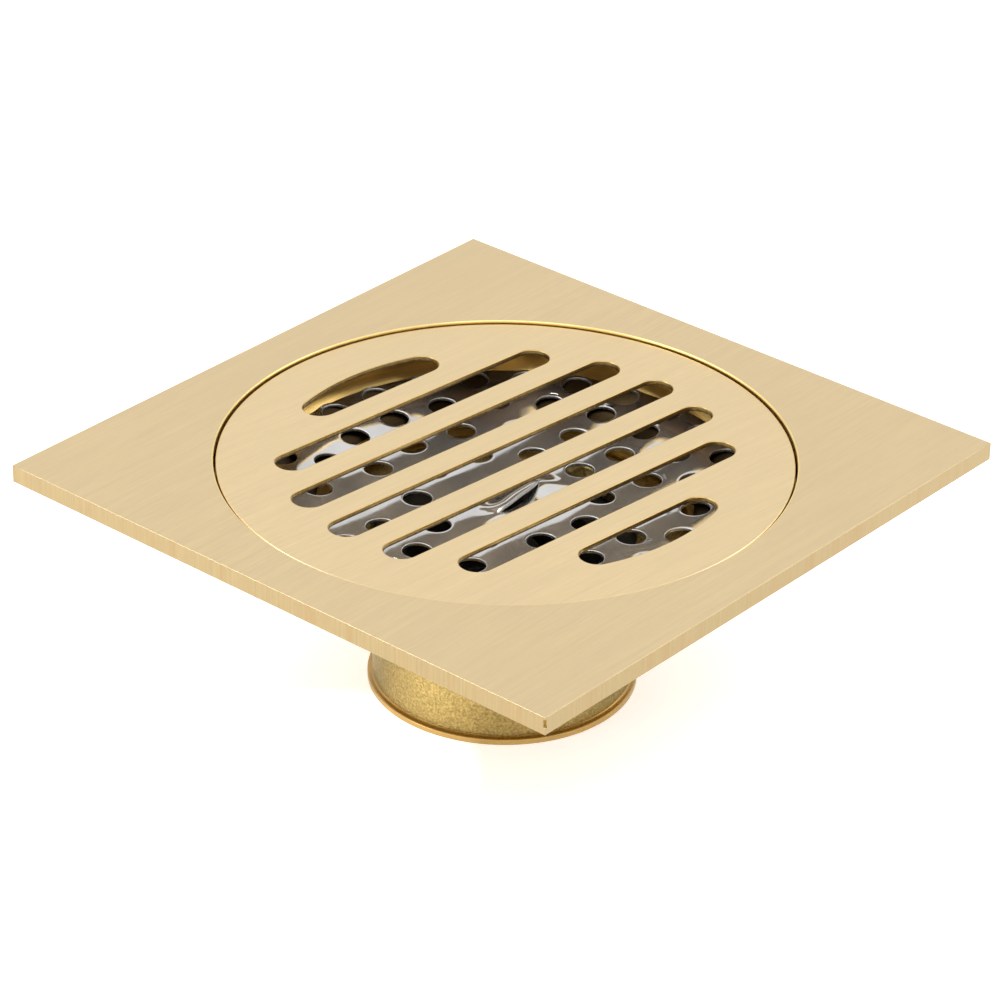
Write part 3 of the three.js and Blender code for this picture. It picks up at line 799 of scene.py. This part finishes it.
class Dish:
    """The strainer's sheet: flat in the middle, rising in a cone outside the crease."""

    def __init__(self, sizes, low, high):
        self.sizes, self.outer, self.thick = sizes, high.x, sizes.sheet
        self.flat, rise = low.z + sizes.sheet, 1.25 * MM
        self.slope = rise / (self.outer - sizes.flat_radius)

    def height(self, points):
        """A shallow sagging middle, then a constant slope, with a soft crease between them about
        a millimetre wide, and a faint uneven wave from pressing that dies out at the rim."""
        crease, calm = 0.5 * MM, 4 * MM
        x, y = points[..., 0], points[..., 1]
        reach = np.hypot(x, y)
        past = reach - self.sizes.flat_radius
        rise = self.slope * 0.5 * (past + np.hypot(past, crease))
        sag = self.sizes.sag * np.clip(1 - (reach / self.sizes.flat_radius) ** 2, 0, 1)
        wave = np.sin(x * 310 + 1.3) * np.sin(y * 270 - 0.4) + 0.6 * np.sin(x * 560 - y * 380)
        wave *= np.clip((self.outer - reach) / calm, 0, 1)
        return self.flat + rise - sag + self.sizes.ripple * wave

    def hole(self, centre, middle, half, inner, outer, samples_in, samples_out):
        """The sheet round one hole, inside its share of a ring. The share's outline is joined to
        the hole's edge by steps that point at the hole's centre; the edge is rounded over, and
        the same steps run back underneath."""
        a = np.linspace(-half, half, samples_out + 1) + middle
        b = np.linspace(half, -half, samples_in + 1) + middle
        side = np.linspace(0, 1, 11)[1:-1]
        down, up = outer + (inner - outer) * side, inner + (outer - inner) * side
        r = np.concatenate([np.full(len(a), outer), down, np.full(len(b), inner), up])
        after, before = np.full(len(side), middle + half), np.full(len(side), middle - half)
        t = np.concatenate([a, after, b, before])
        outline = r[:, None] * unit(t)
        toward = outline - centre
        toward /= np.linalg.norm(toward, axis=1, keepdims=True)
        size, soft, thick = self.sizes.hole_radius, self.sizes.hole_soft, self.thick
        guard, chamfer = 0.5 * MM, 0.06 * MM
        bend = np.linspace(0, np.pi / 2, 5)
        roll = [(guard, 0), *zip(soft * (1 - np.sin(bend)), soft * (np.cos(bend) - 1))]
        roll += [(0, -0.5 * thick), (0, -0.9 * thick), (chamfer, -thick), (guard, -thick)]
        steps = [lifted(outline, self.height(outline))]
        for out, rise in roll:
            ring = centre + (size + out) * toward
            steps.append(lifted(ring, self.height(ring) + rise))
        steps.append(lifted(outline, self.height(outline) - thick))
        steps = np.stack(steps, 1)
        yield patch(steps[:, :3], wrap=True)
        yield patch(steps[:, 2:-2], wrap=True, finish=1)
        yield patch(steps[:, -3:], wrap=True)

    def seam(self, inner, outer, count, turn_in, turn_out):
        """A narrow ring joining two circles of as many points that start at different angles."""
        step = TURN / count
        shift = int(np.round((turn_in - turn_out) / step))
        a, b = circle(count, turn_in), circle(count, turn_out + shift * step)
        for drop in (0.0, self.thick):
            plane = np.stack([inner * unit(a), outer * unit(b)], 1)
            yield patch(lifted(plane, self.height(plane) - drop), wrap=True)

    def lid(self, count, start, radius):
        """The middle of the sheet in two halves that meet on a line through the finger pull's
        slit. Behind the slit the sheet swells into an eyelid; in front it stays flat. A soft
        shoulder is pressed up round each end of the slit."""
        s = self.sizes
        turn, along_x, across = np.radians(8.0), 0.4 * MM, -2.9 * MM
        raised, spread, dip_deep, dip_far = 0.55 * MM, 2.5 * MM, 0.05 * MM, 1.1 * MM
        half = count // 2
        first = int(np.round((turn - start) / (TURN / count)))
        angles = circle(count, start)
        starts = [first % count, (first + half) % count]
        share = np.linspace(0, 1, half + 1)
        spin = np.array([[np.cos(turn), np.sin(turn)], [-np.sin(turn), np.cos(turn)]])
        for which, begin in enumerate(starts):
            t = angles[begin] + share * np.pi
            arc = radius * unit(t)
            sweep = 1 - 2 * share if which == 0 else 2 * share - 1
            bow = np.clip(1 - (np.abs(sweep) / 0.8) ** 4, 0, 1)
            chord_local = np.stack([sweep * radius, across * bow], -1)
            tilt = arc[0] / radius if which == 0 else -arc[0] / radius
            chord = chord_local[:, :1] * tilt + chord_local[:, 1:] * np.array([-tilt[1], tilt[0]])
            rows = np.linspace(0, 1, 25) ** 1.25
            plane = chord[:, None] + (arc - chord)[:, None] * rows[:, None]
            local = plane @ spin.T - np.array([along_x, across])
            along = np.clip(1 - (2 * local[..., 0] / s.pull_length) ** 2, 0, 1)
            back = np.clip(np.maximum(local[..., 1], 0) / s.pull_depth, 0, 1)
            swell = along**0.6 * (1 + np.cos(np.pi * back)) / 2
            dip = along**0.7 * np.exp(local[..., 1] / dip_far)
            ends = (np.abs(local[..., 0]) - s.pull_length / 2) ** 2 + local[..., 1] ** 2
            shoulder = raised * np.exp(-ends / spread**2)
            lift = s.pull_rise * swell if which == 0 else -dip_deep * dip
            z = self.height(plane) + lift + shoulder
            yield patch(lifted(plane, z))
            yield patch(lifted(plane, z - self.thick))
            cut = np.flatnonzero(along[:, 0] > 0)
            cut = np.arange(cut[0] - 1, cut[-1] + 2)
            tops = lifted(plane[cut, 0], z[cut, 0])
            yield patch(np.stack([tops, tops - [0, 0, self.thick]], 1), finish=1)


class DRAIN_OT_strainer(bpy.types.Operator):
    """Add the polished perforated strainer with its pressed-up finger pull"""

    bl_idname = "drain.strainer"
    bl_label = "Hair strainer"

    def execute(self, context):
        sizes, tones = context.scene.drain_sizes, context.scene.drain_colours
        dish = Dish(sizes, *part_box("hair_strainer"))
        patches = []
        round_over = 0.18 * MM
        rim = dish.outer - round_over
        limits = [*RING_EDGES, rim]
        turns = [np.radians(first - 180 / count) for _, count, first, *_ in HOLE_RINGS]
        for place, (radius, count, first, offset, inside, outside) in enumerate(HOLE_RINGS):
            inner, outer = limits[place] + SEAM, limits[place + 1] - SEAM
            outer = rim if place == len(HOLE_RINGS) - 1 else outer
            for number in range(count):
                middle = np.radians(first) + TURN * number / count
                centre = np.array(offset) + radius * np.array([np.cos(middle), np.sin(middle)])
                patches += dish.hole(centre, middle, np.pi / count, inner, outer, inside, outside)
            if place:
                before = limits[place] - SEAM
                patches += dish.seam(before, inner, count * inside, turns[place - 1], turns[place])
        count, samples = HOLE_RINGS[0][1], HOLE_RINGS[0][4]
        inner = limits[0] + SEAM
        patches += dish.lid(count * samples, turns[0], inner)
        count, samples = HOLE_RINGS[-1][1], HOLE_RINGS[-1][5]
        plane = unit(circle(count * samples, turns[-1]))
        middle, half = dish.height(rim * plane) - dish.thick / 2, dish.thick / 2
        rings = []
        for out, up in unit(np.linspace(-np.pi / 2, np.pi / 2, 7)):
            rings.append(lifted((rim + round_over * out) * plane, middle + half * up))
        patches.append(band(rings))
        finishes = [
            finish_polished_steel("strainer_polish", tones.steel),
            finish_cut_steel("strainer_cut", tones.cut),
        ]
        name, slot = "strainer_sheet", "stainless"
        make_piece(name, patches, finishes, "strainer", slot, "hair_strainer")
        return {"FINISHED"}


# ---- Bowl ---------------------------------------------------------------------------------


class DRAIN_OT_bowl(bpy.types.Operator):
    """Add the cast bowl with its spigot, turned lip, threaded throat and seat"""

    bl_idname = "drain.bowl"
    bl_label = "Bowl and spigot"

    def execute(self, context):
        sizes, tones = context.scene.drain_sizes, context.scene.drain_colours
        throat, thread_low, thread_high = 27.4 * MM, 20.6 * MM, 29.2 * MM
        angles = circle(sizes.round_sides)
        lip = [(17.4, 3.0), (17.4, 0.0), (20.0, 0.0), (20.0, 0.85), (19.8, 0.95), (19.0, 0.95)]
        spigot = [(19.0, 0.95), (19.0, 1.12), (19.25, 1.25), (19.25, 15.9), (21.5, 16.9)]
        bowl = [(26.5, 17.5), (30.4, 20.3), (30.4, 27.6), (32.0, 28.6), (39.2, 29.2)]
        shoulder = [(40.6, 30.6), (40.6, 31.8), (43.6, 32.6), (43.6, 34.4)]
        rim = [(43.6, 34.4), (45.0, 34.4), (45.0, 35.4), (42.1, 35.4), (42.1, 34.2), (36.7, 34.2)]
        seat_wall = [(36.7, 34.2), (36.7, 30.9)]
        ledge = [(36.7, 30.9), (28.0, 29.5)]
        floor = [(27.4, 20.6), (27.4, 20.0), (17.4, 20.0), (17.4, 3.0)]

        def stretch(points, radius, finish):
            """Part of the casting's profile in mm, its inner corners rounded, carried round."""
            bends = np.broadcast_to(np.asarray(radius, float) * MM, len(points)).copy()
            bends[[0, -1]] = 0
            return swept(rounded(np.array(points) * MM, bends), angles, finish=finish)

        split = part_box("trap_collar")[1].z + 0.2 * MM
        pitch, depth = sizes.thread_pitch, sizes.thread_depth
        deep = threaded(throat, -depth, pitch, split, thread_high, angles)
        shallow = threaded(throat, -0.25 * MM, pitch, thread_low, split, angles)
        mouth = [(28.0, 29.5), (27.8, 29.35), (27.4, 29.2)]
        patches = [
            stretch(lip, 0.12, 1),
            stretch([*spigot, *bowl, *shoulder], [0, 0.05, 0.08, 0.5, *[0.9] * 10], 0),
            stretch(rim, 0.2, 1),
            stretch(seat_wall, 0, 2),
            # The ledge and the throat's mouth take finish 4, whose near-black colour is painted
            # shade.
            stretch(ledge, 0, 4),
            stretch(mouth, 0.05, 4),
            patch(deep, wrap=True, finish=3),
            patch(shallow, wrap=True, finish=3),
            stretch(floor, 0.5, 0),
        ]
        finishes = [
            finish_cast("sand_cast_brass", tones.cast),
            finish_turned("turned_lip", tones.turned),
            finish_turned("turned_seat", tones.seat, -0.1),
            finish_thread("cut_thread", tones.crest, throat, throat + depth),
            finish_turned("painted_shade_ledge", tones.deep, 0.1),
        ]
        make_piece("bowl_casting", patches, finishes, "drain", "cast_brass", "drain_body")
        return {"FINISHED"}


# ---- Odour trap ---------------------------------------------------------------------------


class DRAIN_OT_cartridge(bpy.types.Operator):
    """Add the trap's collar, sleeve, spider and seals"""

    bl_idname = "drain.cartridge"
    bl_label = "Trap cartridge"

    def execute(self, context):
        sizes, tones = context.scene.drain_sizes, context.scene.drain_colours
        large, small = sizes.round_sides, sizes.small_sides
        self.collar(sizes, tones, large)
        rubber = finish_rubber("seal_rubber", tones.rubber)
        plastic = finish_plastic("trap_plastic", tones.plastic)
        low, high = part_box("collar_gasket")
        flat = oblong(18.6 * MM, high.x, low.z, high.z)
        turned_piece(
            "gasket_flat", flat, 0.2 * MM, large, rubber, "trap", "black_rubber", "collar_gasket"
        )
        for number in (1, 2):
            node = f"sleeve_o_ring_{number}"
            low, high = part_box(node)
            section = (high.z - low.z) / 2
            middle = np.array([high.x - section, (low.z + high.z) / 2])
            ring = swept(closed(middle + section * unit(circle(24))), circle(large))
            make_piece(f"o_ring_{number}", [ring], [rubber], "trap", "black_rubber", node)
        self.sleeve(large, plastic)
        self.spider(small, plastic)
        return {"FINISHED"}

    def collar(self, sizes, tones, sides):
        """The ring's bore steps out over four notches: its inner profile is pushed outwards and
        down where the angle lies within a notch."""
        low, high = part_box("trap_collar")
        inner, notch, deep = 19.4 * MM, 2.4 * MM, 1.5 * MM
        angles = circle(sides * 2)
        quarter = np.abs((angles + np.pi / 4) % (np.pi / 2) - np.pi / 4)
        cut = 1 / (1 + np.exp((quarter * inner - 3 * MM) / (0.06 * MM)))
        chamfer, depth = 0.25 * MM, 0.3 * MM
        outer, land = high.x - depth, inner + notch + 1 * MM
        start, end = low.z + chamfer, high.z - chamfer
        steps = [
            (inner, start, False),
            (inner, high.z - deep, False),
            (inner, high.z - deep, True),
            (inner, end, True),
            (inner + chamfer, high.z, True),
            (land, high.z, False),
        ]
        rings = []
        for radius, height, notched in steps:
            reach = radius + cut[:, None] * notch * notched
            rings.append(lifted(reach * unit(angles), height))
        thread = threaded(outer, depth, sizes.thread_pitch, start, end, angles)
        face = [(outer, end), (outer - chamfer, high.z), (land, high.z)]
        bottom = [(outer, start), (outer - chamfer, low.z)]
        bottom += [(inner + chamfer, low.z), (inner, start)]
        patches = [band(rings), patch(thread, wrap=True), swept(face, angles)]
        patches.append(swept(bottom, angles))
        brass = finish_cast("mottled_collar", tones.collar)
        make_piece("collar_threaded", patches, [brass], "trap", "machined_brass", "trap_collar")

    def sleeve(self, sides, plastic):
        """A tube with a flange on top and two grooves for the O-rings, as one profile in mm."""
        low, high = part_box("trap_sleeve")
        foot, top, flange = low.z / MM, high.z / MM, high.x / MM
        bore, wall, groove, half_groove = 14.2, 16.2, 15.4, 1.05
        profile = [(bore, foot), (wall - 0.6, foot), (wall, foot + 1)]
        for number in (2, 1):
            a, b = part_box(f"sleeve_o_ring_{number}")
            middle = (a.z + b.z) / 2 / MM
            start, end = middle - half_groove, middle + half_groove
            profile += [(wall, start), (groove, start), (groove, end), (wall, end)]
        profile += [(wall, top - 1.2), (flange, top - 1.2), (flange, top)]
        profile += [(bore + 1, top), (bore, top - 1)]
        outline, name = np.array(profile) * MM, "sleeve_moulding"
        turned_piece(
            name, outline, 0.18 * MM, sides, plastic, "trap", "black_plastic", "trap_sleeve"
        )

    def spider(self, sides, plastic):
        """Rim and hub are turned profiles, and each arm is a rounded bar between them."""
        low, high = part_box("guide_spider")
        rim_in, rim_out = high.x - 1.1 * MM, high.x
        loops = []
        for inner, outer in ((rim_in, rim_out), (1.5 * MM, 3.0 * MM)):
            outline = closed(rounded(oblong(inner, outer, low.z, high.z), 0.2 * MM))
            loops.append(swept(outline, circle(sides * 2)))
        half, mid, tall = 0.65 * MM, (low.z + high.z) / 2, (high.z - low.z) / 2 - 0.15 * MM
        section = rounded(oblong(-half, half, -tall, tall), 0.2 * MM)
        for arm in range(4):
            out = np.append(unit(TURN * (arm + 0.5) / 4), 0)
            side = np.array([-out[1], out[0], 0])
            reach = np.linspace(2.7 * MM, rim_in + 0.3 * MM, 6)
            bar = reach[None, :, None] * out + section[:, :1, None] * side
            bar[..., 2] += section[:, 1:] + mid
            caps = [np.broadcast_to(bar[:, i].mean(0), bar[:, :1].shape) for i in (0, -1)]
            loops.append(patch(np.concatenate([caps[0], bar, caps[1]], 1), wrap=True))
        make_piece("spider_moulding", loops, [plastic], "trap", "black_plastic", "guide_spider")


class DRAIN_OT_valve(bpy.types.Operator):
    """Add the valve: stem, cap, clip, spring, disc, seal, washers and nut"""

    bl_idname = "drain.valve"
    bl_label = "Spring valve"

    def execute(self, context):
        sizes, tones = context.scene.drain_sizes, context.scene.drain_colours
        sides = sizes.small_sides
        steel = finish_drawn_steel("drawn_steel", tones.wire)
        plastic = finish_plastic("valve_plastic", tones.plastic)
        stem = 1.2 * MM
        bore = stem + 0.1 * MM

        def ring(name, node, body, inner, material, slot, radius, count=sides * 2):
            """An oblong from the inner radius to its node's edge, carried round."""
            low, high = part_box(node)
            flat = oblong(inner, high.x, low.z, high.z)
            turned_piece(name, flat, radius, count, material, body, slot, node)

        ring("washer_spring", "spring_washer", "trap", bore, steel, "stainless_wire", 0.08 * MM)
        ring("washer_seal", "seal_washer", "valve", bore, steel, "stainless_wire", 0.12 * MM)
        ring("washer_nut", "nut_washer", "valve", bore, steel, "stainless_wire", 0.1 * MM)
        silicone = finish_rubber("seal_silicone", tones.silicone, 0.5)
        ring("seal_ring", "valve_seal", "valve", 5 * MM, silicone, "silicone", 0.3 * MM)
        bends = np.array([0, 0.5, 0.35, 0.1]) * MM
        ring("cap_moulding", "stem_cap", "valve", bore, plastic, "black_plastic", bends, sides)
        self.disc(sides * 2, bore, plastic)
        self.stem(sides, stem, steel)
        self.clip(steel)
        self.spring(steel)
        self.nut(sides, bore, steel)
        return {"FINISHED"}

    def disc(self, sides, bore, plastic):
        """The valve's disc, its underside sloping up to a thin rim."""
        low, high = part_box("valve_disc")
        under = [(bore, low.z), (high.x * 0.6, low.z), (high.x, low.z + 0.8 * MM)]
        profile = [*under, (high.x, high.z), (bore, high.z)]
        bends = np.array([0.1, 2, 0.3, 0.2, 0.1]) * MM
        name, slot = "disc_moulding", "black_plastic"
        turned_piece(name, profile, bends, sides, plastic, "valve", slot, "valve_disc")

    def stem(self, sides, radius, steel):
        """A rod with a clip groove, domed ends and a rolled thread at its foot."""
        low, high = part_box("valve_stem")
        groove_low, groove_high = (v.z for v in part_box("stem_clip"))
        groove_low, groove_high = groove_low - 0.1 * MM, groove_high + 0.1 * MM
        groove, angles, soft = 0.8 * MM, circle(sides), 0.15 * MM
        depth, pitch = 0.16 * MM, 0.5 * MM
        start, end = low.z + 0.3 * MM, low.z + 4.6 * MM
        foot = [(0, low.z), (radius - 0.3 * MM, low.z), (radius - depth, start)]
        thread = threaded(radius - depth, depth, pitch, start, end, angles)
        rod = [(radius - depth, end), (radius, end + soft), (radius, groove_low)]
        rod += [(groove, groove_low), (groove, groove_high), (radius, groove_high)]
        rod += [(radius, high.z - soft), (radius - soft, high.z), (0, high.z)]
        bends = np.full(len(rod), 0.05 * MM)
        bends[[0, -1]] = 0
        patches = [swept(foot, angles), patch(thread, wrap=True)]
        patches.append(swept(rounded(rod, bends), angles))
        make_piece("stem_rod", patches, [steel], "valve", "stainless_wire", "valve_stem")

    def clip(self, steel):
        """A rectangle with rounded corners carried along an open arc, closed at both ends."""
        low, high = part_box("stem_clip")
        outer, inner = 2.3 * MM, 0.9 * MM
        flat = rounded(oblong(inner, outer, low.z, high.z), 0.1 * MM)
        mouth = 0.9
        arc = carried(flat, np.linspace(mouth, TURN - mouth, 60))
        ends = [np.broadcast_to(arc[i].mean(0), arc[:1].shape) for i in (0, -1)]
        grid = np.concatenate([ends[0], arc, ends[1]]).transpose(1, 0, 2)
        patches = [patch(grid, wrap=True)]
        make_piece("clip_c", patches, [steel], "valve", "stainless_wire", "stem_clip")

    def spring(self, steel):
        """A helix whose end turns lie flat: height eases from the low end to the high one."""
        low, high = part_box("valve_spring")
        wire, coil, turns, travel = 0.3 * MM, 2.5 * MM, 7, 4.5 * MM
        share = np.linspace(0, 1, 361)
        rise = np.clip((share - 0.12) / 0.76, 0, 1)
        z = low.z + wire + (high.z - low.z - 2 * wire) * (0.06 * share + 0.94 * rise)
        turn = share * turns * TURN
        patches = [patch(tube(lifted(coil * unit(turn), z), wire, 12), wrap=True)]
        name, slot = "spring_wire", "stainless_wire"
        piece = make_piece(name, patches, [steel], "valve", slot, "valve_spring")
        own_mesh(piece)

    def nut(self, sides, bore, steel):
        """Hexagon cut by a cone at both ends: the radius is the lesser of the hexagon's and the
        cone's at that height."""
        low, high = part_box("valve_nut")
        angles = circle(sides * 2 + sides // 2 * 2)
        flats, chamfer = 2.75 * MM, 0.25 * MM
        face = flats * 0.98
        hexagon = flats / np.cos(np.abs((angles % (np.pi / 3)) - np.pi / 6))
        share = np.concatenate([np.linspace(0, 0.25, 9), np.linspace(0.75, 1, 9)])
        z = low.z + (high.z - low.z) * share
        cone = face + 2.2 * np.minimum(z - low.z, high.z - z)
        r = np.minimum(hexagon[:, None], cone[None, :])
        side = lifted(r[..., None] * unit(angles)[:, None], z)
        below = [(face, low.z), (bore + chamfer, low.z), (bore, low.z + chamfer)]
        above = [(bore, high.z - chamfer), (bore + chamfer, high.z), (face, high.z)]
        patches = [patch(side, wrap=True), swept([*below, *above], angles)]
        make_piece("nut_hex", patches, [steel], "valve", "stainless_wire", "valve_nut")


# ---- Stage --------------------------------------------------------------------------------


class DRAIN_OT_stage(bpy.types.Operator):
    """Add the pale floor, the soft lights and the camera"""

    bl_idname = "drain.stage"
    bl_label = "Stage"

    def execute(self, context):
        scene = context.scene
        scene.view_settings.view_transform = "Standard"
        self.floor(scene)
        self.lights(scene)
        self.camera(scene)
        return {"FINISHED"}

    def floor(self, scene):
        mesh = bpy.data.meshes.new("floor")
        side = 4.0
        corners = [(-side, -side, 0), (side, -side, 0), (side, side, 0), (-side, side, 0)]
        mesh.from_pydata(corners, [], [(0, 1, 2, 3)])
        mesh.materials.append(finish_floor("studio_floor", scene.drain_colours.floor))
        floor = bpy.data.objects.new("floor", mesh)
        scene.collection.objects.link(floor)

    def lights(self, scene):
        world = bpy.data.worlds.new("studio")
        world.use_nodes = True
        sky = world.node_tree.nodes["Background"]
        sky.inputs["Color"].default_value = (1, 1, 1, 1)
        sky.inputs["Strength"].default_value = 0.9
        scene.world = world
        for name, place, size, power in (
            ("key", (-0.5, 0.9, 1.3), 0.9, 9.0),
            ("fill", (0.9, -0.5, 1.0), 0.8, 4.0),
            ("front", (-0.55, -0.47, 1.15), 0.9, 5.0),
            ("low", (-0.40, 0.19, 0.035), 0.10, 0.5),
        ):
            lamp = bpy.data.lights.new(name, "AREA")
            lamp.size, lamp.energy = size, power
            light = bpy.data.objects.new(name, lamp)
            light.location = place
            light.rotation_mode = "QUATERNION"
            light.rotation_quaternion = (-Vector(place)).to_track_quat("-Z", "Y")
            scene.collection.objects.link(light)

    def camera(self, scene):
        """A long lens looking down at the plate from beyond its front corner, turned a little
        about its own axis."""
        azimuth, elevation, roll = np.radians([-49.557, 29.586, 0.905])
        distance, right_by, up_by, lens = 0.60549, -0.636 * MM, -6.722 * MM, 151.1
        back = Vector((
            np.sin(azimuth) * np.cos(elevation),
            -np.cos(azimuth) * np.cos(elevation),
            np.sin(elevation),
        ))
        right = Vector((np.cos(azimuth), np.sin(azimuth), 0))
        up = back.cross(right)
        eye = Vector((0, 0, cad_high.z)) + back * distance + right * right_by + up * up_by
        level = right * np.cos(roll) + up * np.sin(roll)
        upright = up * np.cos(roll) - right * np.sin(roll)
        data = bpy.data.cameras.new("camera")
        data.lens, data.sensor_width = lens, 36
        data.clip_start, data.clip_end = 0.05, 20
        camera = bpy.data.objects.new("camera", data)
        turn = Matrix((level, upright, back)).transposed()
        camera.matrix_world = Matrix.Translation(eye) @ turn.to_4x4()
        scene.collection.objects.link(camera)
        scene.camera = camera


# ---- Panel and registration ---------------------------------------------------------------


OPERATORS = (
    DRAIN_OT_stage,
    DRAIN_OT_face_plate,
    DRAIN_OT_bowl,
    DRAIN_OT_grate,
    DRAIN_OT_cushion,
    DRAIN_OT_strainer,
    DRAIN_OT_cartridge,
    DRAIN_OT_valve,
)


class DRAIN_PT_panel(bpy.types.Panel):
    """The drain's sizes, colours and pieces"""

    bl_idname = "DRAIN_PT_panel"
    bl_label = "Floor drain"
    bl_space_type = "VIEW_3D"
    bl_region_type = "UI"
    bl_category = "Drain"

    def draw(self, context):
        for group in (context.scene.drain_sizes, context.scene.drain_colours):
            box = self.layout.box()
            for name in group.__annotations__:
                box.prop(group, name)
        for operator in OPERATORS:
            self.layout.operator(operator.bl_idname)


CLASSES = (DrainSizes, DrainColours, *OPERATORS, DRAIN_PT_panel)


def register():
    for cls in CLASSES:
        bpy.utils.register_class(cls)
    bpy.types.Scene.drain_sizes = PointerProperty(type=DrainSizes)
    bpy.types.Scene.drain_colours = PointerProperty(type=DrainColours)


def unregister():
    del bpy.types.Scene.drain_colours
    del bpy.types.Scene.drain_sizes
    for cls in reversed(CLASSES):
        bpy.utils.unregister_class(cls)


def main():
    register()
    for operator in OPERATORS:
        category, name = operator.bl_idname.split(".")
        getattr(getattr(bpy.ops, category), name)()


if __name__ == "__main__":
    main()
